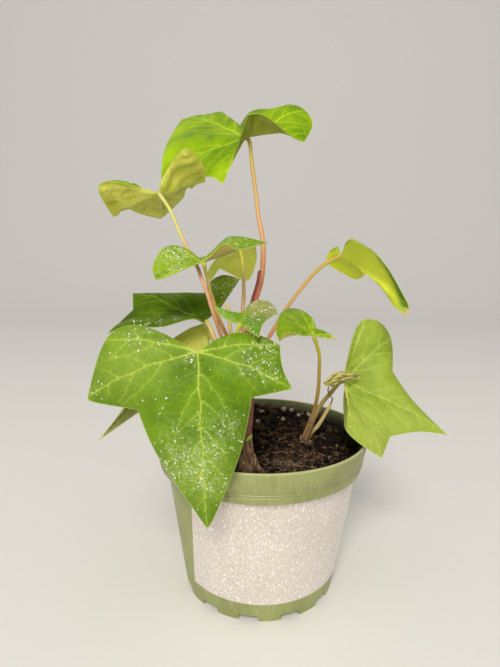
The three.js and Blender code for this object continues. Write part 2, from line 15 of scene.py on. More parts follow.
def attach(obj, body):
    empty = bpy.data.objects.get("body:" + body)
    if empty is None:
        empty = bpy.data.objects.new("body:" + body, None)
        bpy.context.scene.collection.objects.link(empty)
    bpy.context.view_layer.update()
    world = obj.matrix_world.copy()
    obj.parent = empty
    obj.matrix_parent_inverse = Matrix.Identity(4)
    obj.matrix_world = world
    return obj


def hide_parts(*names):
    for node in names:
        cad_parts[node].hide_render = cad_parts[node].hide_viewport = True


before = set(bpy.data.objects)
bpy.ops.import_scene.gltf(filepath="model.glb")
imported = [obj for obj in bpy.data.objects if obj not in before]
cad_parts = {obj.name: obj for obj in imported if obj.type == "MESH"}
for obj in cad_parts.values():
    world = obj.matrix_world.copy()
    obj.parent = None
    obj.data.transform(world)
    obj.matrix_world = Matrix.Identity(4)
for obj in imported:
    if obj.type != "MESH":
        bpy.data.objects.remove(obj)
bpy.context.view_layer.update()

MM = 0.001
BODY = "root"

# Camera, fitted to the ellipses of the pot's rim and foot, for an image of 500 x 667
CAMERA_AT = (0, -246, 170)
CAMERA_YAW = -1.41
CAMERA_PITCH = -9.36
CAMERA_ROLL = 0.53
SENSOR = 36
FOCAL_SHARE = 500 / 667

# Pot
RIM_RADIUS = 54
POT_HEIGHT = 80
BAND_BOTTOM = 64.8
BAND_BOTTOM_RADIUS = 51.1
MOULD_LINES = (68.2, 69.6)
MOULD_LINE_DEPTH = 0.22
EDGE = 0.3
BODY_TOP_RADIUS = 47.8
FOOT_RADIUS = 38.3
FOOT_HEIGHT = 3
FOOT_RING_WIDTH = 2.5
FOOT_PAD_RADIUS = 6
WALL = 1.3
LIP_WIDTH = 1.5
LIP_INNER_RADIUS = 49.8
LIP_INNER_HEIGHT = 66
BASE_TOP = 4.5
NOTCH_COUNT = 12
NOTCH_WIDTH = 9
NOTCH_HEIGHT = 2.8
FIRST_NOTCH_DEG = -7
DRAIN_COUNT = 5
DRAIN_RADIUS = 4
DRAIN_CIRCLE_RADIUS = 26

# Label
LABEL_GAP = 0.15
LABEL_THICKNESS = 0.3
LABEL_HALF_WIDTH = 45
LABEL_CENTRE_DEG = 14
LABEL_BOTTOM = 10
LABEL_TOP = 64.2
LABEL_CORNER_RISE = 1.2

# Soil
SOIL_RADIUS = 49.4
SOIL_GAP = 0.3
SOIL_LEVEL = 72
SOIL_SLOPE = 0.07
# Swells of the soil: [turn per mm along x, turn per mm along y, start, height]
SOIL_WAVES = [
    (0.11, 0.05, 0.4, 1.0), (-0.07, 0.16, 1.9, 0.7), (0.31, -0.22, 0.8, 0.45), (0.17, 0.37, 2.6, 0.4),
]

# Blades
BLADE_HALF = 0.22
STALK_START = 0.7
ARCH_PEAK = 27 / 4
GRID = 1.0
VEIN_STEP = 0.7
MARGIN_STEP = 0.8
MARGIN_TRIM = 0.25

# Veins by rank, from where a vein starts to where it ends: how wide it is, and how much it shows
VEIN_WIDTHS = {0: (0.55, 0.18), 1: (0.26, 0.12), 2: (0.16, 0.1)}
VEIN_SHOW = {0: (0.9, 0.55), 1: (0.5, 0.24), 2: (0.17, 0.07)}

# Routes of [x, y, z, radius]
STEM_MAIN = [
    (-6.5, -32, 62, 5), (-6.5, -32, 71, 5), (-6.5, -31.5, 76, 4), (-6.5, -31, 82, 2.8), (-6, -31, 88, 2.1),
    (-5.5, -30, 95, 1.8), (-5, -29, 104, 1.8), (-5, -27, 112.5, 1.8), (-6.5, -24, 121, 1.7),
    (-7, -19, 129.5, 1.5), (-6, -12, 140.5, 1.3), (-4, -6, 148, 1.3), (-2, -2, 155, 1.4), (-1, 0, 160, 1.5),
]
ROOT_FLARES = [
    [(-5.5, -32, 83, 1.5), (-4, -32.5, 78.5, 1.7), (-1.5, -33, 74, 1.5), (1.5, -33.5, 71, 1.2),
     (4, -34, 66, 1.1)],
    [(-7, -31.5, 82, 1.8), (-9.5, -32, 76.5, 2), (-12, -32.5, 71.5, 1.8), (-13.5, -33, 66, 1.3)],
    [(-6.5, -31.5, 81, 1.8), (-7, -34.5, 75.5, 2.1), (-7.5, -37.5, 71, 1.8), (-7.5, -38.5, 66, 1.3)],
]
STEM_RIGHT = [(22.2, 0.5, 62, 2.4), (22.2, 0.5, 69, 3), (22.8, 1.5, 75, 2.5)]
KNOBS = [
    [(22.2, 0.3, 70, 1.5), (20.8, -3, 72.5, 2), (20.3, -5.5, 72.5, 1.7)],
    [(22.8, 0.6, 70, 1.5), (24.9, -1.8, 73.5, 1.4), (25.6, -2.8, 74, 1.1)],
    [(20.5, -1, 69, 1.4), (17, -3, 71.5, 1.6), (15.5, -4.5, 72, 1.5)],
]
BUD = [(-6, -33.4, 86.4, 0.8), (-5, -34.1, 87.8, 0.85), (-4.1, -34.2, 89.2, 0.45)]
STUB_CENTRE = [
    (-16, -20, 146, 0.8), (-15, -21, 140, 0.9), (-14, -22.5, 132.5, 0.9), (-11.5, -25, 125.5, 1),
    (-6.5, -24.5, 121.5, 1.2),
]
STUB_RIGHT = [
    (35.5, 3, 92, 0.9), (32.5, 4, 85.5, 1), (29.5, 3.6, 80.5, 1.1), (26.6, 2.6, 77.5, 1.1),
    (24.2, 1.7, 74.5, 1.2),
]

# The dead leaf: rolls of [route, degrees that the roll goes round, turns that its folds wind in]
ROLLS = [
    ([(31, -9, 107, 0.6), (33.2, -9.2, 107.8, 1.8), (36, -9, 109.4, 2.3), (39, -8.6, 110.3, 2.2),
      (42, -8.2, 110, 1.7), (44.5, -7.7, 109.6, 1.1)], 300, 1.3),
    ([(40.5, -8.2, 110.9, 0.7), (43.5, -8, 110.2, 1.5), (46, -7, 109.7, 1.3),
      (48, -6.2, 110.1, 0.4)], 215, 0.4),
    ([(33.5, -9.4, 106.4, 1.1), (31.6, -9.3, 106.8, 0.9), (29.9, -9, 107.5, 0.2)], 250, 0.6),
    ([(36.5, -10, 108.6, 0.8), (34.8, -10.4, 106.7, 0.9), (33.6, -9.6, 105.6, 0.5)], 260, 0.8),
]
ROLL_SIDES = 44
ROLL_FACES = -1.6
DRY_BLADE = 0.22
THREAD = [
    (33.2, -8.6, 106, 0.35), (32.8, -7.5, 104.2, 0.3), (32.9, -6, 102.2, 0.3), (34.4, -3.5, 99.2, 0.3),
    (35.9, -1, 96.6, 0.32), (35.6, 2.4, 92.9, 0.35),
]

# Perlite in the soil: the larger grains that show at the back, and how many small ones lie all over
PERLITE_AT = [(0.5, 36), (-1.7, 22), (13.5, 41), (12.8, 30), (18.5, 44.5), (22, 37), (28, 37)]
PERLITE_COUNT = 22
DRY_PATCH = (17, -20, 15)

# Backdrop sweep, in metres: where the floor starts to rise, and how round
SWEEP_START = 1.0
SWEEP_RADIUS = 1.0
SWEEP_HALF_WIDTH = 3
SWEEP_HEIGHT = 3

# Dust flecks: the length and the width of the cells that hold one each, and the share of cells that hold
# one where the dust is thickest
FLECKS = ((0.65, 1.3, 0.62), (1.2, 0.65, 0.62), (1.0, 1.1, 0.16))
# How far a fleck reaches from the middle of its cell, least and most, as a share of the cell
FLECK_REACH = (0.14, 0.4)

# Leaf skins: the colours of the tissue, of its patches, of the veins, of the blade's rim and of the spots
# marked as turned, which are turned colour on some leaves and painted light on others, and what differs in
# finish
LEAF_SKINS = {
    # The front leaf's turned colour is painted sheen on its left wing.
    "leaf_front_upper": (["#4c7000", "#668c00", "#b4c84c", "#c2d06c", "#86a036"], {"gloss": 0.18}),
    "leaf_light_upper": (["#7c921c", "#94a834", "#c0d068", "#c6d27c", "#a6b84c"],
                         {"rough": 0.5, "show": 0.85}),
    "leaf_young_upper": (["#6f9a08", "#86aa14", "#b8c844", "#c6d25e", "#4f7a0a"], {}),
    "leaf_lime_upper": (["#547c00", "#80a400", "#bcd42c", "#c8d850", "#a4c400"],
                        {"gloss": 0.15, "show": 1.3}),
    "leaf_small_upper": (["#608a00", "#7ea402", "#bccc38", "#c8d654", "#4f7a0a"], {"rough": 0.35}),
    "leaf_bright_upper": (["#648a00", "#84a406", "#b4c43c", "#c4d058", "#4f7a0a"], {}),
    # The turned colour here is painted light, which brightens the left leaf's shaded upper right lobe.
    "leaf_dark_upper": (["#385400", "#4c6a00", "#8ca428", "#9aac3c", "#84a60e"],
                        {"gloss": 0.15, "show": 0.8}),
    "leaf_dusty_upper": (["#507c00", "#6c9604", "#a4bc3c", "#b4c854", "#8c8c4c"], {"show": 0.7}),
    "leaf_pale_under": (["#ccd04c", "#d8d85c", "#e0e284", "#e2e490", "#4f7a0a"],
                        {"rough": 0.55, "show": 0.6}),
    # A brighter copy of the underside for the pale leaf: light shining through the blade is painted into its
    # colour.
    "leaf_lit_under": (["#e2ea58", "#ecf266", "#eef096", "#e8eca0", "#4f7a0a"],
                       {"rough": 0.55, "show": 0.5}),
    "leaf_bright_under": (["#b0b43a", "#cccc54", "#d6d874", "#dadc84", "#4f7a0a"],
                          {"rough": 0.55, "show": 0.7}),
    "leaf_young_under": (["#c8d42a", "#d8e23e", "#dce070", "#e4e484", "#4f7a0a"],
                         {"rough": 0.5, "show": 0.6}),
    "leaf_olive_under": (["#808e1a", "#98a430", "#a8a848", "#b8bc5c", "#4f7a0a"],
                         {"rough": 0.55, "show": 0.6}),
    "leaf_neck_under": (["#a09448", "#b4a858", "#c0b676", "#c0b676", "#4f7a0a"],
                        {"rough": 0.55, "show": 0.6}),
    # Brightened underside of the hidden leaf: painted light on a blade that lies in shade.
    "leaf_hidden_lit_under": (["#bcc048", "#ccce5c", "#c8ca70", "#cccf80", "#7c8244"], {"show": 0.6}),
    "bud_scale": (["#7fae1c", "#a4c83c", "#d0dc6a", "#d0dc6a", "#4f7a0a"], {}),
}

# Petiole skins: the colours near the blade, in the middle and at the foot
PETIOLE_SKINS = {
    "petiole_tan": ["#c2aa52", "#d6a476", "#b8604c"],
    "petiole_pink": ["#cfca70", "#d09a7a", "#a04a3c"],
    "petiole_red": ["#bfae5c", "#b26a56", "#8a3a30"],
    "petiole_twist": ["#ccc854", "#b88a52", "#8c3a30"],
    "petiole_green": ["#cccc4a", "#c8ba56", "#b09058"],
    "petiole_pale": ["#c9c840", "#ceac7c", "#c07c5c"],
    "petiole_yellow": ["#b4b034", "#a98c48", "#744629"],
    "petiole_olive": ["#a89a58", "#98804c", "#6a4c2c"],
    "petiole_old": ["#d0c080", "#bca868", "#7a5c36"],
    "petiole_dry": ["#86583c", "#a0724a", "#6b4630"],
}

# Leaves. "at" is where the petiole meets the blade, and the places below are offsets from there. "outline"
# goes round the blade, "corners" are its sharp points, and "veins" the points that the main veins run to,
# the midrib's first. "arch" is the blade's bulge. "crinkle" is how far the tissue stands up between the
# veins, and "keel" ridges along a main vein: [its number, height, reach]. "dust", "dry" and "turned" are
# places that are dusty, dried out, or turned in colour, which on some leaves is painted light: [x, y, z,
# radius, strength]. "dust_all" is the dust all over. "petiole" is a route.
LEAVES = {
    "leaf_front": {
        "at": (-24.5, -60, 132), "arch": (0, -3, 1), "seed": 3, "crinkle": 0.45, "dust_all": 0.04,
        "outline": [
            (-12.5, 1, 6.5), (-26.5, 3, 9.5), (-36.5, 4, 3.5), (-43.2, 0.2, -18.6), (-42.2, 0, -20.3),
            (-23.5, -1, -23), (-16, -2.5, -40.5), (2, -5.8, -66.4), (4.1, -6, -69), (6.1, -5.8, -66.4),
            (16.5, -2.5, -40), (21, -1, -17.5), (36.6, 0, -14), (32.8, 3, -6.6), (31.8, 6.5, 1.8),
            (23.5, 8.5, 5.3), (14.2, 7.5, 6.3), (6.5, 4, 3.9),
        ],
        "corners": [5, 11, 12, 14], "veins": [8, 2, 3, 12, 14],
        "petiole": [
            (-22.5, -54, 128.5, 0.9), (-16.5, -42, 119.5, 1), (-10.5, -33, 111, 1.1),
            (-5, -29.5, 107, 1.4),
        ],
        "dust": [
            (26, 6, -1, 5, 1.0), (20, 4, -7, 4, 1.4), (27, 3, -9, 4, 0.8), (-7, -4, -45, 6, 1.2),
            (-1, -4, -41, 6, 0.6), (5, -4, -38, 5, 1.1), (5, -5, -50, 5, 1.2), (11, -3, -29, 5, 1.1),
            (-22, 3, 5, 5, 0.6), (-14, 2, 4, 3, 0.3), (-3, 0, -3, 3, 0.5), (-40, 1, -16, 3, 0.5),
            (-41, 2, -6, 2, 0.5), (-11, -2, -27, 4, 0.3), (-10, -3, -36, 5, 0.5), (0, -3, -25, 4, 0.3),
        ],
        # On the left wing the turned colour is painted sheen: a paler, greyer green where the light glances
        # off.
        "turned": [
            (-28, 3, -4, 15, 0.75), (-12, 2, 4, 8, 0.3), (-6, -4, -46, 13, 0.4), (6, -5, -50, 12, 0.4),
        ],
        "upper": "leaf_front_upper", "under": "leaf_pale_under", "stalk": "petiole_red",
        "slot": "leaf_front",
    },
    "leaf_right": {
        "at": (42, -2, 106.5), "arch": (1, -3, 2), "seed": 5, "crinkle": 0.35,
        "outline": [
            (-1.4, -4, -7.5), (-2.4, -13, -13.5), (-2, -24, -18.7), (14, -24, -30.5), (19.8, -15, -23.4),
            (35.5, -10, -22.5), (50.5, -6, -25.5), (34, -1, -9.6), (24.5, 5, 4), (24.5, 12, 20),
            (18, 11, 28.5), (9.5, 8, 30), (5, 6, 25), (-0.5, 1, 4.5),
        ],
        "corners": [3, 4, 6, 8], "veins": [6, 2, 3, 9, 11],
        "petiole": [
            (39.5, -1, 105.5, 1), (35.5, 0, 100, 1.1), (31.5, 0.8, 94.5, 1.1), (28.2, 1, 88, 1.2),
            (25.5, 0.4, 81, 1.2), (24.3, -0.1, 77.5, 1.2), (23.2, -0.3, 74.5, 1.3),
        ],
        "dust": [(16, -20, -22, 4, 0.4)],
        "dry": [(50.5, -6, -25.5, 2.2, 1.0), (14, 9.5, 28.5, 2.5, 0.35), (19, -17, -24, 2, 0.4)],
        "turned": [(8, -20, -18, 14, 0.8), (30, -10, -20, 12, 0.6)],
        "upper": "leaf_light_upper", "under": "leaf_pale_under", "stalk": "petiole_olive",
        "slot": "leaf_right",
    },
    "leaf_upright": {
        "at": (39.5, 12, 168.5), "arch": (1, 0, 2), "seed": 7, "crinkle": 0.35,
        "outline": [
            (0.5, -10, 6), (1, -23, 7.5), (14, -27, -1.5), (25.2, -31.2, -19.5), (26.8, -32, -23.8),
            (25.7, -32, -27.2), (21.2, -25, -23), (17.2, -15, -14), (12, -8, -7), (10.5, 10, -13),
            (1.5, 12, -9), (-6, 10, -4), (-5.5, 6, 1.5), (-2.5, 2, 3.5),
        ],
        "corners": [1, 5, 6, 8], "veins": [5, 1, 9, 11],
        "petiole": [
            (34.5, 13.5, 165.5, 0.9), (29.5, 15, 162, 1), (19.5, 17.5, 150, 1), (11, 19, 137.5, 1),
            (4.5, 13, 127, 1.1), (-1.5, -6, 122, 1.1), (-6.5, -22, 121.5, 1.3),
        ],
        "dry": [(26, -32, -26.5, 3.3, 1.0)],
        "turned": [
            (25.5, -30.5, -22, 3.6, 1.0), (24, -30, -18, 4, 1.0), (22, -29.5, -14, 4.2, 1.0),
            (20, -29, -10, 4, 1.0), (17, -28, -6, 3.4, 1.0), (13, -26, -2, 2.6, 0.9),
            (8, -25, 2.5, 2, 0.7),
        ],
        "upper": "leaf_young_upper", "under": "leaf_young_under", "stalk": "petiole_tan",
        "slot": "leaf_young",
    },
    "leaf_top": {
        "at": (-9, 12, 225.5), "arch": (0, 0, 3), "seed": 11, "crinkle": 0.5,
        "outline": [
            (1, -16, 6), (8.5, -20, 5), (22.5, -10, -2.5), (28, -7, -4), (32.5, 1, 6), (29.5, 6, 13.5),
            (23, 10, 17.5), (15, 12, 16), (1, 18, 15), (-5, 26, 8.5), (-18.5, 42, 21), (-25, 48, 22.5),
            (-40.5, 55, 21.5), (-44.5, 21, -2), (-44, 6, -19.5), (-17, -12, -21), (-10.5, -16, -25),
            (-7.5, -13, -17.5), (-2, -5, -4),
        ],
        "corners": [3, 9, 12, 14, 16], "veins": [12, 1, 3, 5, 14, 16],
        "petiole": [
            (-7.5, 11, 223, 0.9), (-6, 9, 211.5, 1), (-4, 7, 197.5, 1), (-2.5, 5, 186.5, 1.1),
            (-0.5, 3, 176.5, 1.2), (0, 1.5, 169.5, 1.3), (-0.3, -0.3, 160, 1.3), (-1, -2.7, 155, 1.2),
            (-2.9, -6.9, 148, 1.1), (-5, -12.6, 141, 0.7),
        ],
        "turned": [(-43, 14, -9, 11, 0.9), (-41, 36, 8, 11, 0.8), (-12, -12, -20, 6, 0.6)],
        "upper": "leaf_lime_upper", "under": "leaf_olive_under", "stalk": "petiole_tan",
        "slot": "leaf_lime",
    },
    "leaf_upleft": {
        "at": (-48, -12, 196), "arch": (0, 0, 1.8), "seed": 13, "crinkle": 1.8,
        "outline": [
            (3, -3, 6.5), (14, -10, 17.5), (20.5, -2, 12.5), (20.5, 10, 6), (10, 22, 4.5), (6, 32, 0.5),
            (-9, 48, -9), (-18, 33, -7), (-21.5, 26, -5.5), (-26, 16, -10), (-28, 0, 1), (-23.5, -4, 4),
            (-12, -3.5, 2.5),
        ],
        "corners": [3, 6, 9], "veins": [6, 1, 3, 9, 10],
        "petiole": [
            (-43, -12.5, 188.5, 0.8), (-37, -16, 176, 0.8), (-31.5, -20.5, 166.5, 0.85),
            (-28.5, -25, 162, 0.85), (-26.8, -28.5, 158.5, 0.85), (-24.3, -30, 152.5, 0.85),
            (-21, -31.5, 142.5, 0.85), (-17.7, -31, 133, 0.9), (-12.5, -29.5, 122.5, 0.95),
            (-5.5, -26.5, 114.5, 1.2),
        ],
        "upper": "leaf_lime_upper", "under": "leaf_bright_under", "stalk": "petiole_pink",
        "slot": "leaf_underside",
    },
    "leaf_twist": {
        "at": (-25, -34, 165.5), "arch": (0, 0, 1), "seed": 17, "crinkle": 0.4, "dust_all": 0.08,
        "outline": [
            (4, -4, 3), (10, -9, 7.5), (14.5, -6, 5), (22.5, 4, 7), (27.5, 12, 8), (14.5, 14, 11),
            (8, 22, 10), (0, 35, 1.5), (-5, 6.5, 0.5), (-9.4, 8.5, 4.9), (-14, 7, 6.7), (-18.5, 3, 4.9),
            (-21, -4, -2.5), (-18.5, -10, -7.5), (-12, -8, -5.5), (-4, -4, -1.5),
        ],
        "corners": [4, 7, 8, 13], "veins": [7, 1, 4, 10, 13],
        "petiole": [
            (-25, -32, 163.5, 0.8), (-25, -29, 162, 0.8), (-24.5, -26, 159, 0.8),
            (-23.5, -23.5, 152.5, 0.8), (-22, -22, 147, 0.85), (-20, -21.5, 140.5, 0.85),
            (-16, -20.5, 131.5, 0.9), (-11.5, -21, 124, 1), (-6.5, -24.5, 118, 1.3),
        ],
        "dust": [(-14, 2, 2, 6, 1.3), (-10, -3, -2, 5, 1.0), (14, 5, 8, 7, 0.6), (9, 12, 10, 4, 0.8)],
        "upper": "leaf_bright_upper", "under": "leaf_neck_under", "stalk": "petiole_twist",
        "slot": "leaf_front",
    },
    "leaf_pale": {
        "at": (-11.5, 5, 170), "arch": (0, 0, 2), "seed": 19, "crinkle": 0.3,
        "outline": [
            (8, 3, 2), (8, 15, -5.5), (4.5, 26, -15), (1.5, 29, -16.5), (-7.5, 19, -11.5), (-11.5, 11, -9),
            (-15.5, 6, -15.5), (-16, 1, -10), (-12, -3, -5), (-5.5, -4, -2.5),
        ],
        "corners": [5, 6], "veins": [3, 0, 1, 6, 8],
        "petiole": [
            (-10.5, 2, 167, 0.8), (-9.5, -3, 158.5, 0.8), (-9, -7.5, 149.5, 0.9), (-9.5, -12, 140, 0.9),
            (-9.5, -14.5, 135, 1), (-7, -17, 131.5, 1.2),
        ],
        "upper": "leaf_light_upper", "under": "leaf_lit_under", "stalk": "petiole_pale",
        "slot": "leaf_pale",
    },
    "leaf_left": {
        "at": (-26, -18, 138), "arch": (0, 0, 2), "seed": 23, "crinkle": 0.45,
        "outline": [
            (6, 9.5, 5), (14.5, 24, 18), (6, 26, 20), (-0.5, 26, 16.5), (-1.5, 22, 11), (-15, 22, 11),
            (-38, 16, 11), (-35.5, 6, 4), (-44, -7, -5.5), (-35.5, -10, -2), (-18, -13, -1), (-5.5, -9, 2),
            (-1, -4, -0.5),
        ],
        "corners": [1, 4, 6, 7, 8], "veins": [6, 1, 8],
        "petiole": [
            (-23.5, -24, 136, 0.9), (-21.5, -26, 132, 1), (-19.5, -27, 128.5, 1), (-13.5, -27.5, 119, 1.1),
            (-5.5, -27.5, 111, 1.3),
        ],
        "keel": [(2, 2.6, 4)],
        "dust": [
            (11, 20, 15, 6, 1.4), (6, 16, 11, 5, 1.0), (-12, -9, 0, 2.5, 0.9), (-18, -11, -1, 2.5, 0.9),
            (-25, -11, -1, 2.5, 0.8), (-31, -8, -2, 2.5, 0.7), (-14, -5, -1, 2, 0.7),
            (-24, -5, -3, 2.5, 0.7), (-34, -6, -4, 3, 0.7),
        ],
        # The turned spot on the upper right lobe is painted light: a brighter green on a lobe that lies in
        # shade.
        "turned": [(9, 19, 13, 9, 1.0)],
        "upper": "leaf_dark_upper", "under": "leaf_olive_under", "stalk": "petiole_pink",
        "slot": "leaf_dark",
    },
    "leaf_centre": {
        "at": (-9, -44, 141), "arch": (0, 0, 1.5), "seed": 29, "crinkle": 0.35, "dust_all": 0.1,
        "outline": [
            (1.5, -5, -1.5), (8, -18, -3), (10, -8, 1.5), (15.5, 0, 4), (12, 8, 8), (6, 11, 8),
            (1, 8, 2.5), (-5.5, 6, 3.5), (-11.5, 4, 6), (-7.5, 2, 2), (-3, 0, 0),
        ],
        "corners": [1, 3, 6, 8], "veins": [1, 3, 5, 8],
        "petiole": [
            (-9.5, -43, 139, 0.8), (-11, -41, 135, 0.9), (-10, -33, 130.5, 1), (-7, -21.5, 126.5, 1.2),
        ],
        "dust": [(11, 4, 5.5, 6, 1.0), (8, 8, 6, 5, 1.0), (4, -6, -1, 5, 0.6), (-6, 4, 3, 4, 0.6)],
        "turned": [(12.5, 2, 5, 5.5, 1.0), (9, 8, 6.5, 5, 1.0), (6, 5, 5, 4, 0.9), (12, -4, 2.5, 3.5, 0.8)],
        "upper": "leaf_dusty_upper", "under": "leaf_pale_under", "stalk": "petiole_green",
        "slot": "leaf_dusty",
    },
    "leaf_small": {
        "at": (25.5, 0, 129), "arch": (0, 0, 2), "seed": 31, "crinkle": 0.4,
        "outline": [
            (5.5, -3, -1), (12, -2, -2), (8, 1, 0), (2, 6, 1), (0, 14, 7), (-7.5, 20, 11), (-16, 8, 10.5),
            (-19, -9, 3), (-17.5, -13, -1), (-15, -15, 3.5), (-6, -7, 0.5),
        ],
        "corners": [1, 3, 8], "veins": [5, 1, 4, 6, 8],
        "petiole": [
            (27, 1, 125, 0.9), (29, 3, 118.5, 0.9), (29.5, 5, 109.5, 0.9), (29.5, 6.5, 99, 1),
            (27.8, 7, 88, 1), (25, 5.4, 80.5, 1.1), (23.7, 4.3, 77.5, 1.1), (22.6, 3.3, 74.5, 1.2),
        ],
        "dry": [(12, -2, -2, 3.4, 1.2), (-18, -13, 0, 2, 0.7)],
        "upper": "leaf_small_upper", "under": "leaf_pale_under", "stalk": "petiole_yellow",
        "slot": "leaf_lime",
    },
    "leaf_hidden": {
        "at": (-27.5, -9, 135.5), "arch": (0, 0, 0), "seed": 37, "crinkle": 0.35,
        "outline": [
            (1.5, 0, -1), (3, -1, -5), (2.5, -4, -10.5), (5.5, -11, -22.5), (0.5, -16, -34),
            (-9.5, -18, -32.5), (-19, -23, -45.5), (-24, -22, -35), (-44.5, -29, -49), (-35, -24, -36.5),
            (-28.5, -15, -23.5), (-18.5, -5, -10), (-7.5, 1, -2.5),
        ],
        "corners": [4, 5, 6, 7, 8], "veins": [6, 2, 4, 8, 11],
        "petiole": [
            (-25.5, -12, 132.5, 0.9), (-22.5, -15, 128, 1), (-17.5, -19, 120, 1), (-10.5, -23.5, 109, 1.1),
            (-4.5, -28.5, 102.5, 1.4),
        ],
        "turned": [(-42, -28, -47, 12, 1.0), (-32, -20, -34, 10, 0.9)],
        "upper": "leaf_dark_upper", "under": "leaf_hidden_lit_under", "stalk": "petiole_pink",
        "slot": "leaf_underside",
    },
}


def rgb(code):
    """A linear colour from an sRGB hex code."""
    shares = [int(code[i:i + 2], 16) / 255 for i in (1, 3, 5)]
    return (*(s / 12.92 if s <= 0.04045 else ((s + 0.055) / 1.055) ** 2.4 for s in shares), 1)


def new_material(name):
    material = bpy.data.materials.new(name)
    material.use_nodes = True
    material.node_tree.nodes.clear()
    return material, material.node_tree


def add(tree, kind, inputs=None, **settings):
    """A shader node with its settings. Each input is a value, a hex code or the socket that feeds it. Gives
    the node's outputs."""
    node = tree.nodes.new("ShaderNode" + kind)
    for name, value in settings.items():
        setattr(node, name, value)
    for key, value in (inputs or {}).items():
        if isinstance(value, bpy.types.NodeSocket):
            tree.links.new(value, node.inputs[key])
        else:
            node.inputs[key].default_value = rgb(value) if isinstance(value, str) else value
    return node.outputs


def lay_over(tree, colour, shade, pattern, start, end, low=0.0, high=1.0):
    """Another shade laid over a colour. Its share runs smoothly from `low` to `high` while the pattern's
    value runs from `start` to `end`."""
    inputs = {0: pattern, 1: start, 2: end, 3: low, 4: high}
    share = add(tree, "MapRange", inputs, interpolation_type="SMOOTHSTEP")[0]
    return add(tree, "Mix", {0: share, 6: colour, 7: shade}, data_type="RGBA")[2]


def millimetres(tree, stretch=(1, 1, 1)):
    """The place on the part in millimetres. A stretch below 1 draws the patterns out that way."""
    place = add(tree, "TexCoord")["Object"]
    scale = tuple(s / MM for s in stretch)
    return add(tree, "VectorMath", {0: place, 1: scale}, operation="MULTIPLY")[0]


def leaf_tissue(tree, flat, turned_and_lit_share, shades, show):
    """Broad light and dark patches 16 mm across, a 1 mm mottle, parts turned in colour, some of which are
    painted light, and the smallest veins, whose meshes are 2.4 mm wide. Gives the colour and the mottle."""
    tissue, patch, vein, _, turned = shades
    broad = add(tree, "TexNoise", {"Vector": flat, "Scale": 1 / 16})[0]
    colour = lay_over(tree, tissue, patch, broad, 0.38, 0.62)
    mottle = add(tree, "TexNoise", {"Vector": flat, "Scale": 1 / 1.1, "Detail": 3.0})[0]
    colour = lay_over(tree, colour, patch, mottle, 0.35, 0.65, 0.0, 0.4)
    colour = add(tree, "Mix", {0: turned_and_lit_share, 6: colour, 7: turned}, data_type="RGBA")[2]
    warp = add(tree, "TexNoise", {"Vector": flat, "Scale": 1 / 3})["Color"]
    warped = add(tree, "VectorMath", {0: flat, 1: warp}, operation="ADD")[0]
    meshes = add(tree, "TexVoronoi", {"Vector": warped, "Scale": 1 / 2.4}, feature="DISTANCE_TO_EDGE")[0]
    return lay_over(tree, colour, vein, meshes, 0.0, 0.12, 0.09 * show, 0.0), mottle


def leaf_veins(tree, colour, shades, show):
    """Veins as lines with soft borders, a faint pale band 3 mm wide along each side of them, and a pale rim
    on the blade. Gives the colour and the lines."""
    vein, rim = shades[2:4]
    veins = add(tree, "Attribute", attribute_name="vein")["Vector"]
    distance, width, strength = add(tree, "SeparateXYZ", {0: veins})
    core = add(tree, "Math", {0: width, 1: 0.2}, operation="MULTIPLY")[0]
    border = add(tree, "Math", {0: width, 1: 0.5, 2: 0.22}, operation="MULTIPLY_ADD")[0]
    inputs = {0: distance, 1: core, 2: border, 3: show, 4: 0.0}
    lines = add(tree, "MapRange", inputs, interpolation_type="SMOOTHSTEP")[0]
    lines = add(tree, "Math", {0: lines, 1: strength}, operation="MULTIPLY")[0]
    faint = add(tree, "Math", {0: strength, 1: 0.2 * show}, operation="MULTIPLY")[0]
    colour = lay_over(tree, colour, vein, distance, 0.0, 3.0, faint, 0.0)
    colour = add(tree, "Mix", {0: lines, 6: colour, 7: vein}, data_type="RGBA")[2]
    edge = add(tree, "Attribute", attribute_name="edge")["Fac"]
    return lay_over(tree, colour, rim, edge, 0.05, 0.4, 0.5, 0.0), lines


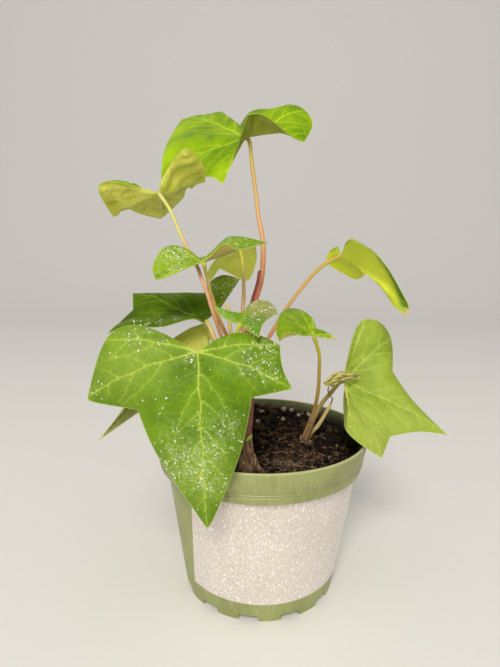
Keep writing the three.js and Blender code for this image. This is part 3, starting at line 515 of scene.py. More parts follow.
def leaf_dust(tree, colour, flat, dusty):
    """Perlite dust left by watering: ragged white flecks 0.3 to 1.2 mm long in drifts, and a thin powder.
    Gives the colour and the flecks."""
    ragged = add(tree, "TexNoise", {"Vector": flat, "Scale": 1 / 0.7})["Color"]
    place = add(tree, "VectorMath", {0: ragged, 1: (1.1, 1.1, 1.1), 2: flat}, operation="MULTIPLY_ADD")[0]
    drifts = add(tree, "TexNoise", {"Vector": flat, "Scale": 1 / 3, "Detail": 3.0})[0]
    inputs = {0: drifts, 1: 0.4, 2: 0.6, 3: 0.25, 4: 1.3}
    drifts = add(tree, "MapRange", inputs, interpolation_type="SMOOTHSTEP")[0]
    drifts = add(tree, "Math", {0: dusty, 1: drifts}, operation="MULTIPLY")[0]
    flecks = 0.0
    for length, width, share in FLECKS:
        scale = (1 / length, 1 / width, 1)
        stretched = add(tree, "VectorMath", {0: place, 1: scale}, operation="MULTIPLY")[0]
        cell = add(tree, "TexVoronoi", {"Vector": stretched, "Scale": 1.0})
        draws = add(tree, "SeparateColor", {0: cell["Color"]})
        often = add(tree, "Math", {0: drifts, 1: share}, operation="MULTIPLY")[0]
        there = add(tree, "Math", {0: draws[0], 1: often}, operation="LESS_THAN")[0]
        inputs = {0: draws[1], 3: FLECK_REACH[0], 4: FLECK_REACH[1]}
        reach = add(tree, "MapRange", inputs, interpolation_type="SMOOTHSTEP")[0]
        within = add(tree, "Math", {0: reach, 1: cell["Distance"]}, operation="SUBTRACT")[0]
        inputs = {0: within, 2: 0.1, 4: there}
        fleck = add(tree, "MapRange", inputs, interpolation_type="SMOOTHSTEP")[0]
        flecks = add(tree, "Math", {0: flecks, 1: fleck}, operation="MAXIMUM")[0]
    powder = add(tree, "TexNoise", {"Vector": flat, "Scale": 1 / 1.6, "Detail": 4.0})[0]
    most = add(tree, "Math", {0: dusty, 1: 0.22}, operation="MULTIPLY")[0]
    colour = lay_over(tree, colour, "#d9dcb4", powder, 0.4, 0.7, 0.0, most)
    share = add(tree, "Math", {0: flecks, 1: 0.95}, operation="MULTIPLY")[0]
    return add(tree, "Mix", {0: share, 6: colour, 7: "#f1f2e2"}, data_type="RGBA")[2], flecks


# Living leaf skin: thin waxy cuticle over green tissue. To the eye a soft sheen over mottled green, pale
# raised veins, tan papery tips where it has dried, and light that shines through. IOR of plant cuticle
# 1.43.
def leaf_skin(name, shades, rough=0.42, gloss=0.3, show=1.0):
    material, tree = new_material(name)
    flat = add(tree, "Attribute", attribute_name="flat")["Vector"]
    marks = add(tree, "Attribute", attribute_name="marks")["Vector"]
    dusty, dried, turned_and_lit_share = add(tree, "SeparateXYZ", {0: marks})
    colour, mottle = leaf_tissue(tree, flat, turned_and_lit_share, shades, show)
    colour, lines = leaf_veins(tree, colour, shades, show)
    inputs = {0: mottle, 1: 0.35, 2: 0.65, 3: 0.6, 4: 1.6}
    patchy = add(tree, "MapRange", inputs, interpolation_type="SMOOTHSTEP")[0]
    papery = add(tree, "Math", {0: dried, 1: patchy}, operation="MULTIPLY")[0]
    colour = lay_over(tree, colour, "#c9b884", papery, 0.35, 0.75)
    colour, flecks = leaf_dust(tree, colour, flat, dusty)

    sheen = add(tree, "TexNoise", {"Vector": flat, "Scale": 1 / 2.5})[0]
    roughness = add(tree, "MapRange", {0: sheen, 3: rough - 0.05, 4: rough + 0.08})[0]
    relief = add(tree, "TexNoise", {"Vector": flat, "Scale": 1 / 2.2, "Detail": 5.0, "Roughness": 0.6})[0]
    relief = add(tree, "Math", {0: relief, 1: 1.6}, operation="MULTIPLY")[0]
    relief = add(tree, "Math", {0: flecks, 1: 0.4, 2: relief}, operation="MULTIPLY_ADD")[0]
    relief = add(tree, "Math", {0: lines, 1: -0.5, 2: relief}, operation="MULTIPLY_ADD")[0]
    bump = add(tree, "Bump", {"Height": relief, "Distance": 0.3 * MM, "Strength": 0.8})[0]
    shader = add(tree, "BsdfPrincipled", {
        "Base Color": colour,
        "Roughness": roughness,
        "IOR": 1.43,
        "Specular IOR Level": gloss,
        "Subsurface Weight": 0.45,
        "Subsurface Radius": (1.0, 1.2, 0.2),
        "Subsurface Scale": 0.7 * MM,
        "Normal": bump,
    })
    add(tree, "OutputMaterial", {0: shader[0]})
    return material


# Dead leaf, air-dried on the plant: papery, rolled and creased. To the eye olive-tan, darker in the folds
# and paler where the rolls bulge out and on their crease lines.
def dead_leaf_skin():
    material, tree = new_material("dead_leaf")
    place = millimetres(tree)
    ridge = add(tree, "Attribute", attribute_name="along")["Fac"]
    blotch = add(tree, "TexNoise", {"Vector": place, "Scale": 1 / 1.4, "Detail": 4.0})[0]
    colour = lay_over(tree, "#5b5722", "#857d3a", blotch, 0.35, 0.65)
    colour = lay_over(tree, colour, "#bdb568", ridge, 0.25, 0.6)
    fine = add(tree, "TexNoise", {"Vector": place, "Scale": 1 / 0.35, "Detail": 3.0})[0]
    bump = add(tree, "Bump", {"Height": fine, "Distance": 0.12 * MM, "Strength": 0.7})[0]
    shader = add(tree, "BsdfPrincipled", {
        "Base Color": colour,
        "Roughness": 0.62,
        "IOR": 1.45,
        "Subsurface Weight": 0.15,
        "Subsurface Radius": (1.0, 0.8, 0.4),
        "Subsurface Scale": 0.3 * MM,
        "Normal": bump,
    })
    add(tree, "OutputMaterial", {0: shader[0]})
    return material


# Petiole skin: a thin waxy rind, sun-reddened away from the blade. To the eye a satin stalk that turns from
# its colour under the blade to that of its foot, in patches 9 mm long and streaks 0.7 mm wide.
def petiole_skin(name, near_blade, middle, foot):
    material, tree = new_material(name)
    along = add(tree, "Attribute", attribute_name="along")["Fac"]
    wander = add(tree, "TexNoise", {"Vector": millimetres(tree), "Scale": 1 / 9})[0]
    wander = add(tree, "MapRange", {0: wander, 3: -0.15, 4: 0.15})[0]
    share = add(tree, "Math", {0: along, 1: wander}, operation="ADD")[0]
    colour = lay_over(tree, near_blade, middle, share, 0.05, 0.5)
    colour = lay_over(tree, colour, foot, share, 0.45, 0.95)
    streaks = add(tree, "TexNoise", {"Vector": millimetres(tree, (1, 1, 0.12)), "Scale": 1 / 0.7})[0]
    colour = lay_over(tree, colour, near_blade, streaks, 0.3, 0.7, 0.0, 0.25)
    bump = add(tree, "Bump", {"Height": streaks, "Distance": 0.08 * MM, "Strength": 0.6})[0]
    shader = add(tree, "BsdfPrincipled", {
        "Base Color": colour,
        "Roughness": 0.4,
        "IOR": 1.43,
        "Subsurface Weight": 0.25,
        "Subsurface Radius": (1.0, 0.7, 0.3),
        "Subsurface Scale": 0.8 * MM,
        "Normal": bump,
    })
    add(tree, "OutputMaterial", {0: shader[0]})
    return material


# Ivy bark: thin cork, split lengthwise as the crown thickened. To the eye dull grey-brown ridges 1 mm wide,
# which give way to smooth red young bark above, with damp soil splashed on the foot.
def bark_skin():
    material, tree = new_material("ivy_bark")
    place = millimetres(tree)
    height = add(tree, "SeparateXYZ", {0: place})[2]
    inputs = {"Vector": millimetres(tree, (1, 1, 0.15)), "Scale": 1 / 0.9, "Detail": 4.0, "Roughness": 0.6}
    fibres = add(tree, "TexNoise", inputs)[0]
    blotch = add(tree, "TexNoise", {"Vector": place, "Scale": 1 / 3, "Detail": 3.0})[0]
    inputs = {"Vector": millimetres(tree, (1, 1, 0.1)), "Scale": 1 / 1.8, "Detail": 3.0}
    streaks = add(tree, "TexNoise", inputs)[0]
    wood = lay_over(tree, "#4a3222", "#ad8a6a", fibres, 0.35, 0.65)
    wood = lay_over(tree, wood, "#6e4a34", blotch, 0.45, 0.7, 0.0, 0.6)
    wood = lay_over(tree, wood, "#cdb596", streaks, 0.54, 0.66, 0.0, 0.6)
    brown = lay_over(tree, "#7a4228", "#a2664a", fibres, 0.3, 0.7)
    red = lay_over(tree, "#6e3028", "#a05244", fibres, 0.3, 0.7)
    young = lay_over(tree, brown, red, height, 96.0, 110.0)
    colour = lay_over(tree, wood, young, height, 82.0, 92.0)
    splash = add(tree, "Math", {0: blotch, 1: 6.0, 2: height}, operation="MULTIPLY_ADD")[0]
    colour = lay_over(tree, colour, "#2c1e14", splash, 74.5, 79.0, 0.8, 0.0)
    inputs = {0: height, 1: 82.0, 2: 95.0, 3: 0.8, 4: 0.45}
    roughness = add(tree, "MapRange", inputs, interpolation_type="SMOOTHSTEP")[0]
    bump = add(tree, "Bump", {"Height": fibres, "Distance": 0.5 * MM, "Strength": 0.9})[0]
    shader = add(tree, "BsdfPrincipled", {
        "Base Color": colour,
        "Roughness": roughness,
        "IOR": 1.5,
        "Normal": bump,
    })
    add(tree, "OutputMaterial", {0: shader[0]})
    return material


# Polypropylene, injection moulded: self-coloured sage green. To the eye satin, faintly waxy and a little
# translucent, with specks of dust and upright streaks 1.6 mm wide: rub marks in the roughness and painted
# highlights in the colour. The lip carries a paler painted highlight, and the inner wall is darkened with
# painted shade.
def pot_plastic():
    material, tree = new_material("sage_polypropylene")
    place = millimetres(tree)
    height = add(tree, "SeparateXYZ", {0: place})[2]
    cloudy = add(tree, "TexNoise", {"Vector": place, "Scale": 1 / 20})[0]
    colour = lay_over(tree, "#858c53", "#949a5e", cloudy, 0.35, 0.65)
    # Upright streaks: lighter painted highlights in the colour, and rub marks in the roughness further down.
    inputs = {"Vector": millimetres(tree, (1, 1, 0.15)), "Scale": 1 / 1.6, "Detail": 5.0, "Roughness": 0.65}
    rub_and_highlight = add(tree, "TexNoise", inputs)[0]
    colour = lay_over(tree, colour, "#b9be8c", rub_and_highlight, 0.48, 0.75, 0.0, 0.4)
    cell = add(tree, "TexVoronoi", {"Vector": place, "Scale": 1 / 2.2})
    draws = add(tree, "SeparateColor", {0: cell["Color"]})
    speck = add(tree, "Math", {0: draws[0], 1: 0.12}, operation="LESS_THAN")[0]
    speck = add(tree, "Math", {0: speck, 1: 0.6}, operation="MULTIPLY")[0]
    colour = lay_over(tree, colour, "#d9dab8", cell["Distance"], 0.03, 0.12, speck, 0.0)
    # Painted highlight: a paler band along the top of the lip.
    colour = lay_over(tree, colour, "#c9cc94", height, POT_HEIGHT - 0.7, POT_HEIGHT - 0.2, 0.0, 0.6)

    # Painted shade on the inner wall: faces that look inward turn dark brown, most below the lip, with a
    # ragged edge.
    radial = add(tree, "VectorMath", {0: place, 1: (1, 1, 0)}, operation="MULTIPLY")[0]
    radial = add(tree, "VectorMath", {0: radial}, operation="NORMALIZE")[0]
    normal = add(tree, "NewGeometry")["Normal"]
    outward = add(tree, "VectorMath", {0: radial, 1: normal}, operation="DOT_PRODUCT")["Value"]
    shade_edge = add(tree, "TexNoise", {"Vector": place, "Scale": 1 / 3.5, "Detail": 5.0, "Roughness": 0.6})[0]
    shade_edge = add(tree, "Math", {0: shade_edge, 1: 8.0, 2: height}, operation="MULTIPLY_ADD")[0]
    inputs = {0: shade_edge, 1: 78.0, 2: 85.0, 3: 0.95, 4: 0.5}
    inner_wall_shade = add(tree, "MapRange", inputs, interpolation_type="SMOOTHSTEP")[0]
    colour = lay_over(tree, colour, "#2a2416", outward, -0.7, -0.4, inner_wall_shade, 0.0)

    inputs = {0: rub_and_highlight, 1: 0.4, 2: 0.75, 3: 0.38, 4: 0.55}
    roughness = add(tree, "MapRange", inputs, interpolation_type="SMOOTHSTEP")[0]
    grain = add(tree, "TexNoise", {"Vector": place, "Scale": 1 / 0.6})[0]
    bump = add(tree, "Bump", {"Height": grain, "Distance": 0.05 * MM, "Strength": 0.4})[0]
    shader = add(tree, "BsdfPrincipled", {
        "Base Color": colour,
        "Roughness": roughness,
        "IOR": 1.49,
        "Subsurface Weight": 0.12,
        "Subsurface Radius": (1.0, 1.0, 0.5),
        "Subsurface Scale": 1.0 * MM,
        "Normal": bump,
    })
    add(tree, "OutputMaterial", {0: shader[0]})
    return material


# Pearl paper, calendered with mica: off-white, with small upright flecks, each about 0.7 mm wide, over soft
# paper. Their low shimmer is painted in: near-white painted glints on the flecks, and darker flecks between.
def label_paper():
    material, tree = new_material("pearl_paper")
    inputs = {"Vector": millimetres(tree, (1, 1, 0.45)), "Scale": 1 / 0.7, "Detail": 3.0, "Roughness": 0.6}
    flecks = add(tree, "TexNoise", inputs)[0]
    cloudy = add(tree, "TexNoise", {"Vector": millimetres(tree), "Scale": 1 / 25})[0]
    colour = lay_over(tree, "#cec4ba", "#d3cac0", cloudy, 0.35, 0.65)
    colour = lay_over(tree, colour, "#b8aea2", flecks, 0.36, 0.47, 0.5, 0.0)
    # Painted glints: near-white flecks that stand for the mica's shimmer.
    colour = lay_over(tree, colour, "#fbf7ef", flecks, 0.56, 0.66, 0.0, 0.85)
    bump = add(tree, "Bump", {"Height": flecks, "Distance": 0.2 * MM, "Strength": 0.7})[0]
    shader = add(tree, "BsdfPrincipled", {
        "Base Color": colour,
        "Roughness": 0.45,
        "IOR": 1.5,
        "Sheen Weight": 0.2,
        "Normal": bump,
    })
    add(tree, "OutputMaterial", {0: shader[0]})
    return material


# Potting mix, peat with composted bark: to the eye dull, near-black and damp, in crumbs 1.6 mm wide,
# lighter where they are dry.
def soil_mix(name, dark, light, rough=0.9):
    material, tree = new_material(name)
    inputs = {"Vector": millimetres(tree), "Scale": 1 / 1.6, "Detail": 5.0, "Roughness": 0.65}
    crumbs = add(tree, "TexNoise", inputs)[0]
    bump = add(tree, "Bump", {"Height": crumbs, "Distance": 0.6 * MM, "Strength": 0.9})[0]
    shader = add(tree, "BsdfPrincipled", {
        "Base Color": lay_over(tree, dark, light, crumbs, 0.35, 0.7),
        "Roughness": rough,
        "IOR": 1.45,
        "Specular IOR Level": 0.2,
        "Normal": bump,
    })
    add(tree, "OutputMaterial", {0: shader[0]})
    return material


def route_points(route, step):
    """Points and radii along a smooth centripetal curve through a route."""
    knots = np.array(route, float)
    ends = (2 * knots[0] - knots[1], 2 * knots[-1] - knots[-2])
    padded = np.vstack([ends[0], knots, ends[1]])
    spans = []
    for i in range(1, len(padded) - 2):
        p0, p1, p2, p3 = padded[i - 1:i + 3]
        d0, d1, d2 = (math.sqrt(np.linalg.norm((b - a)[:3])) for a, b in ((p0, p1), (p1, p2), (p2, p3)))
        leave = ((p1 - p0) / d0 - (p2 - p0) / (d0 + d1) + (p2 - p1) / d1) * d1
        arrive = ((p2 - p1) / d1 - (p3 - p1) / (d1 + d2) + (p3 - p2) / d2) * d1
        count = max(2, round(np.linalg.norm((p2 - p1)[:3]) / step))
        t = np.arange(count)[:, None] / count
        bend = 3 * (p2 - p1) - 2 * leave - arrive
        settle = 2 * (p1 - p2) + leave + arrive
        span = p1 + leave * t + bend * t**2 + settle * t**3
        span[:, 3] = p1[3] + (p2[3] - p1[3]) * t[:, 0]
        spans.append(span)
    line = np.vstack([*spans, knots[-1:]])
    return line[:, :3], line[:, 3]


def frames_along(line):
    """Three square directions at each point of a line: along it, and two across it that don't spin."""
    tangents = np.gradient(line, axis=0)
    tangents /= np.linalg.norm(tangents, axis=1)[:, None]
    side = np.array([1.0, 0, 0])
    across, up = [], []
    for tangent in tangents:
        side = side - tangent * (side @ tangent)
        side /= np.linalg.norm(side)
        across.append(side)
        up.append(np.cross(tangent, side))
    return tangents, np.array(across), np.array(up)


def sheet_shell(front, back, finish=0):
    """A closed sheet between two grids of points."""
    rows, width = front.shape[:2]
    faces = [(a, a + 1, a + width + 1, a + width)
             for row in range(rows - 1) for a in range(row * width, row * width + width - 1)]
    half = rows * width
    faces += [tuple(half + i for i in reversed(face)) for face in faces]
    loop = list(range(width - 1)) + [row * width + width - 1 for row in range(rows - 1)]
    loop += [half - 1 - k for k in range(width - 1)] + [row * width for row in range(rows - 1, 0, -1)]
    faces += [(a, a + half, b + half, b) for a, b in zip(loop, loop[1:] + loop[:1])]
    points = np.vstack([front.reshape(-1, 3), back.reshape(-1, 3)])
    return {"points": points, "faces": faces, "finish": finish}


def stalk_shell(route, finish, sides=14, step=0.9, fluting=0.04, swell=0.25, seed=0, head=0.0):
    """A closed stalk along a route: points, faces and how far along each point is, from 0 to 1."""
    line, radii = route_points(route, step)
    lengths = np.r_[0, np.cumsum(np.linalg.norm(np.diff(line, axis=0), axis=1))]
    rng = np.random.default_rng(seed)
    phase = rng.uniform(0, 2 * math.pi)
    lumps = 1 + 0.04 * np.sin(lengths / 2.3 + phase) + 0.03 * np.sin(lengths / 0.9 + 2 * phase)
    radii = radii * lumps * (1 + swell * np.exp(-((lengths[-1] - lengths) / 3) ** 2))
    radii = radii * (1 + head * np.exp(-((lengths / 3) ** 2)))
    tangents, across, up = frames_along(line)
    rings = []
    turn = np.arange(sides) * 2 * math.pi / sides
    around = 1 + fluting * np.cos(3 * turn + phase)
    for i, radius in enumerate(radii):
        circle = np.outer(np.cos(turn), across[i]) + np.outer(np.sin(turn), up[i])
        rings.append(line[i] + radius * around[:, None] * circle)
    caps = []
    for end, direction in ((0, -1), (-1, 1)):
        reach = radii[end] * 0.55
        caps.append((line[end] + (rings[end] - line[end]) * 0.72 + direction * tangents[end] * reach * 0.7,
                     line[end] + direction * tangents[end] * reach))
    rings = [caps[0][0], *rings, caps[1][0]]
    count = len(rings)
    points = np.vstack([*rings, caps[0][1], caps[1][1]])
    along = np.r_[0, lengths / lengths[-1], 1]
    faces = []
    for i in range(count - 1):
        for k in range(sides):
            a, b = i * sides + k, i * sides + (k + 1) % sides
            faces.append((a, b, b + sides, a + sides))
    first, last = count * sides, count * sides + 1
    for k in range(sides):
        after = (k + 1) % sides
        faces.append((first, after, k))
        faces.append((last, (count - 1) * sides + k, (count - 1) * sides + after))
    share = np.r_[np.repeat(along, sides), 0, 1]
    return {"points": points, "faces": faces, "finish": finish, "along": share}


def margin_line(leaf):
    """The blade's smooth outline as offsets from the petiole, and which of its points are the listed
    ones."""
    knots = np.array(leaf["outline"], float)
    lengths = np.linalg.norm(np.diff(knots, axis=0), axis=1)
    slopes = np.diff(knots, axis=0) / lengths[:, None]
    last = len(knots) - 1
    ends = {0, last, *leaf["corners"]}

    def through(i):
        return (knots[i + 1] - knots[i - 1]) / (lengths[i - 1] + lengths[i])

    def tangent(i, span, other):
        if i not in ends:
            return through(i)
        return slopes[span] if other in ends else 1.5 * slopes[span] - 0.5 * through(other)

    points, places = [knots[:1]], [0]
    for i, length in enumerate(lengths):
        count = max(3, round(length / MARGIN_STEP))
        t = np.arange(1, count + 1)[:, None] / count
        span = knots[i] * (2 * t**3 - 3 * t**2 + 1) + knots[i + 1] * (3 * t**2 - 2 * t**3)
        span = span + tangent(i, i, i + 1) * length * (t**3 - 2 * t**2 + t)
        span = span + tangent(i + 1, i, i) * length * (t**3 - t**2)
        points.append(span)
        places.append(places[-1] + count)
    return np.vstack(points), places


def flatten(margin):
    """The outline unrolled flat round the petiole's point, which keeps every length on the blade."""
    reach = np.linalg.norm(margin, axis=1)
    aims = margin / reach[:, None]
    turns = np.arccos(np.clip((aims[1:] * aims[:-1]).sum(1), -1, 1))
    angles = np.r_[0, np.cumsum(turns)]
    return angles, np.c_[reach * np.cos(angles), reach * np.sin(angles)]


def blade_place(flat_points, angles, flat_margin, margin):
    """For flat points, the share of the way to the margin and the offset of the margin there."""
    angle = np.arctan2(flat_points[:, 1], flat_points[:, 0]) % (2 * math.pi)
    angle[angle > angles[-1] + 0.5 * (2 * math.pi - angles[-1])] = 0
    angle = np.clip(angle, 1e-9, angles[-1] - 1e-9)
    i = np.clip(np.searchsorted(angles, angle) - 1, 0, len(angles) - 2)
    a, b = flat_margin[i], flat_margin[i + 1]
    area = a[:, 0] * b[:, 1] - a[:, 1] * b[:, 0]
    u = (flat_points[:, 0] * b[:, 1] - flat_points[:, 1] * b[:, 0]) / area
    v = (a[:, 0] * flat_points[:, 1] - a[:, 1] * flat_points[:, 0]) / area
    share = np.maximum(u + v, 1e-9)
    return share, (margin[i] * u[:, None] + margin[i + 1] * v[:, None]) / share[:, None]


def nearest(points, starts, ends):
    """For each point, the distance to the nearest of many short lines, and which one it is."""
    distance = np.full(len(points), 1e9)
    which = np.zeros(len(points), int)
    along = ends - starts
    square = np.maximum((along**2).sum(1), 1e-12)
    for first in range(0, len(points), 500):
        part = slice(first, first + 500)
        offset = points[part, None] - starts[None]
        t = np.clip((offset * along).sum(2) / square, 0, 1)
        apart = np.linalg.norm(offset - t[:, :, None] * along, axis=2)
        which[part] = apart.argmin(1)
        distance[part] = apart.min(1)
    return distance, which


def main_veins(leaf, places, flat_margin):
    """The main veins in the flat blade, bowed away from the midrib."""
    midrib = flat_margin[places[leaf["veins"][0]]]
    veins = []
    for number, knot in enumerate(leaf["veins"]):
        tip = flat_margin[places[knot]] * 0.985
        length = np.linalg.norm(tip)
        t = np.linspace(0, 1, max(4, round(length / VEIN_STEP)))[:, None]
        across = np.array([-tip[1], tip[0]])
        away = 0.0 if number == 0 else -math.copysign(0.04, across @ midrib)
        wander = 0.006 * np.sin(t * length / 2.6 + 2 * number)
        veins.append(tip * t + across * (away * np.sin(math.pi * t) + wander * t * (1 - t) * 4))
    return veins


def line_ends(veins):
    """The starts and ends of the short lines that veins are made of."""
    return np.vstack([v[:-1] for v in veins]), np.vstack([v[1:] for v in veins])


def side_veins(parents, known, inside, habit, rng):
    """Branches, left and right of each vein in turn. Each leaves at a wide angle, bends toward the tip, and
    ends on the next vein that it meets or near the edge."""
    grown = []
    for parent in parents:
        length = np.linalg.norm(np.diff(parent, axis=0), axis=1).sum()
        place = habit["first"] * rng.uniform(0.8, 1.1)
        hand = 1 if rng.random() < 0.5 else -1
        while place < 0.94 * length:
            index = min(len(parent) - 2, int(place / length * (len(parent) - 1)))
            heading = parent[index + 1] - parent[index]
            aim = math.atan2(heading[1], heading[0])
            spread = hand * math.radians(rng.uniform(*habit["spread"]))
            others = [v for v in [*known, *grown] if v is not parent]
            starts, ends = line_ends(others)
            point = parent[index].copy()
            path = [point.copy()]
            for step in range(int(habit["longest"] / VEIN_STEP)):
                spread *= habit["bend"]
                turn = aim + spread + 0.1 * math.sin(step * 0.6 + 3 * place)
                point = point + VEIN_STEP * np.array([math.cos(turn), math.sin(turn)])
                if not inside(point):
                    break
                distance, which = nearest(point[None], starts, ends)
                if distance[0] < 0.8 and step > 1:
                    span = ends[which[0]] - starts[which[0]]
                    share = np.clip((point - starts[which[0]]) @ span / max(span @ span, 1e-12), 0, 1)
                    path.append(starts[which[0]] + share * span)
                    break
                path.append(point.copy())
            if len(path) > 3:
                grown.append(np.array(path))
            hand = -hand
            place += habit["gap"] * rng.uniform(0.4, 0.6)
    return grown


def vein_network(veins, inside, rng):
    """All the veins that are drawn one by one, each with its rank: main, side or cross vein."""
    longest = max(np.linalg.norm(v[-1]) for v in veins)
    gap = min(11.0, max(5.0, 0.17 * longest))
    branching = {"first": 0.9 * gap, "gap": gap, "spread": (44, 54), "bend": 0.972, "longest": 30}
    sides = side_veins(veins, veins, inside, branching, rng)
    linking = {"first": 0.4 * gap, "gap": 0.75 * gap, "spread": (60, 82), "bend": 0.99, "longest": 12}
    cross = side_veins([*veins, *sides], [*veins, *sides], inside, linking, rng)
    return [(v, 0) for v in veins] + [(v, 1) for v in sides] + [(v, 2) for v in cross]


def blade_mesh(cloud, rim, lines, within):
    """Triangles over flat points that keep the rim's edges and the veins' lines. Gives the points, the
    triangles and the new place of each given point."""
    result = delaunay_2d_cdt([Vector(p) for p in cloud], rim + lines, [], 0, 1e-4, True)
    flat = np.array(result[0])
    triangles = np.array(result[2])
    triangles = triangles[within(flat[triangles].mean(1))]
    new_place = {int(source): i for i, sources in enumerate(result[3]) for source in sources}
    return flat, triangles, new_place


def mark_shares(leaf, offsets):
    """How dusty, how dried out and how much turned in colour each point of the blade is, from the marked
    spots. On some leaves the turned share carries painted light."""
    shares = np.zeros((len(offsets), 3))
    for column, kind in enumerate(("dust", "dry", "turned")):
        for x, y, z, radius, strength in leaf.get(kind, []):
            apart = np.linalg.norm(offsets - (x, y, z), axis=1)
            shares[:, column] += strength * np.exp(-((apart / radius) ** 2))
    shares[:, 0] += leaf.get("dust_all", 0.0)
    return np.clip(shares, 0, 1)


def blade_shells(leaf, rng):
    """The blade: an upper face and an underside a blade's thickness apart, raised between its veins."""
    margin, places = margin_line(leaf)
    margin = margin * (1 - MARGIN_TRIM / np.linalg.norm(margin, axis=1))[:, None]
    angles, flat_margin = flatten(margin)

    def share_of(points):
        return blade_place(np.atleast_2d(points), angles, flat_margin, margin)[0]

    def within(points):
        turned = np.arctan2(points[:, 1], points[:, 0]) % (2 * math.pi)
        return (turned < angles[-1]) & (share_of(points) < 0.9999)

    def inside(point):
        return within(point[None])[0] and share_of(point)[0] < 0.95

    network = vein_network(main_veins(leaf, places, flat_margin), inside, rng)
    starts, ends = line_ends([v for v, _ in network])
    width = np.concatenate([np.linspace(*VEIN_WIDTHS[rank], len(v) - 1) for v, rank in network])
    show = np.concatenate([np.linspace(*VEIN_SHOW[rank], len(v) - 1) for v, rank in network])
    strong = np.concatenate([np.full(len(v) - 1, rank < 2) for v, rank in network])

    low, high = flat_margin.min(0), flat_margin.max(0)
    rows = np.arange(low[1], high[1], GRID * 0.866)
    columns = np.arange(low[0], high[0], GRID)
    grid = np.array([(x + (k % 2) * GRID / 2, y) for k, y in enumerate(rows) for x in columns])
    grid = grid[np.linalg.norm(grid, axis=1) > 0.3]
    grid = grid[within(grid)]
    edge_starts = np.vstack([flat_margin, [[0, 0]]])
    edge_ends = np.vstack([flat_margin[1:], [[0, 0]], flat_margin[:1]])
    grid = grid[nearest(grid, edge_starts, edge_ends)[0] > 0.45]
    grid = grid[nearest(grid, starts, ends)[0] > 0.45]
    loop = list(range(len(flat_margin) + 1))
    rim = list(zip(loop, loop[1:] + loop[:1]))
    cloud, lines = [np.zeros((1, 2)), flat_margin], []
    count = len(flat_margin) + 1
    for vein, rank in network:
        kept = vein[1:] if rank == 0 else vein
        kept = kept[nearest(kept, edge_starts, edge_ends)[0] > 0.4]
        cloud.append(kept)
        lines += [(count + k, count + k + 1) for k in range(len(kept) - 1)]
        count += len(kept)
    flat, triangles, new_place = blade_mesh(np.vstack([*cloud, grid]), rim, lines, within)
    loop = [new_place[k] for k in loop]

    share, reach = blade_place(flat, angles, flat_margin, margin)
    share = np.minimum(share, 1.0)
    share[loop] = 1.0
    reach[loop[1:]] = margin
    share[loop[0]] = 0.0
    knots = np.array(leaf["outline"], float)
    normal = np.cross(knots[:-1], knots[1:]).sum(0)
    normal /= np.linalg.norm(normal)
    s = share[:, None]
    middle = np.array(leaf["at"]) + s * reach - normal * (reach @ normal)[:, None] * s * (1 - s) ** 3
    middle = middle + np.array(leaf["arch"]) * ARCH_PEAK * s**2 * (1 - s)

    distance, which = nearest(flat, starts, ends)
    pillow = 1 - np.exp(-((nearest(flat, starts[strong], ends[strong])[0] / 2.2) ** 2))
    edge = nearest(flat, edge_starts[:-1], edge_ends[:-1])[0]
    fade = np.clip(edge / 3, 0, 1) * np.clip(np.linalg.norm(flat, axis=1) / 4, 0, 1)
    waves = sum(
        np.sin(flat @ rng.uniform(-1, 1, 2) * 2 * math.pi / size + rng.uniform(0, 6)) * height
        for size, height in ((16, 0.7), (10, 0.5), (7, 0.3), (4, 0.15))
    )
    raised = leaf["crinkle"] * (pillow - 0.7 + 0.6 * waves) * fade
    for number, rise, reach_out in leaf.get("keel", []):
        apart = nearest(flat, *line_ends([network[number][0]]))[0]
        raised = raised + rise * np.exp(-((apart / reach_out) ** 2)) * fade
    facing = point_normals(middle, triangles)
    middle = middle + facing * raised[:, None]
    facing = point_normals(middle, triangles)
    ridge = 0.45 * show[which] * width[which] * np.clip(1 - distance / (0.3 + width[which]), 0, 1)
    half = BLADE_HALF * np.clip(0.55 + edge / 1.5, 0.55, 1)
    upper = middle + facing * half[:, None]
    under = middle - facing * (half + ridge)[:, None]
    data = {
        "flat": np.c_[flat, np.full(len(flat), leaf["seed"] * 10.0)],
        "vein": np.c_[distance, width[which], show[which]],
        "marks": mark_shares(leaf, s * reach),
        "edge": edge,
    }
    count = len(flat)
    rim = [(a, a + count, b + count, b) for a, b in zip(loop, loop[1:] + loop[:1])]
    faces = [tuple(t) for t in triangles] + [(a + count, c + count, b + count) for a, b, c in triangles] + rim
    finish = [0] * len(triangles) + [1] * len(triangles) + [0] * len(rim)
    return {
        "points": np.vstack([upper, under]),
        "faces": faces,
        "finish": finish,
        **{name: np.concatenate([values, values]) for name, values in data.items()},
    }


def point_normals(points, triangles):
    a, b, c = (points[triangles[:, k]] for k in range(3))
    facing = np.cross(b - a, c - a)
    total = np.zeros_like(points)
    for k in range(3):
        np.add.at(total, triangles[:, k], facing)
    return total / np.maximum(np.linalg.norm(total, axis=1), 1e-12)[:, None]


SIZES = {"flat": 3, "vein": 3, "marks": 3, "edge": 1, "along": 1}


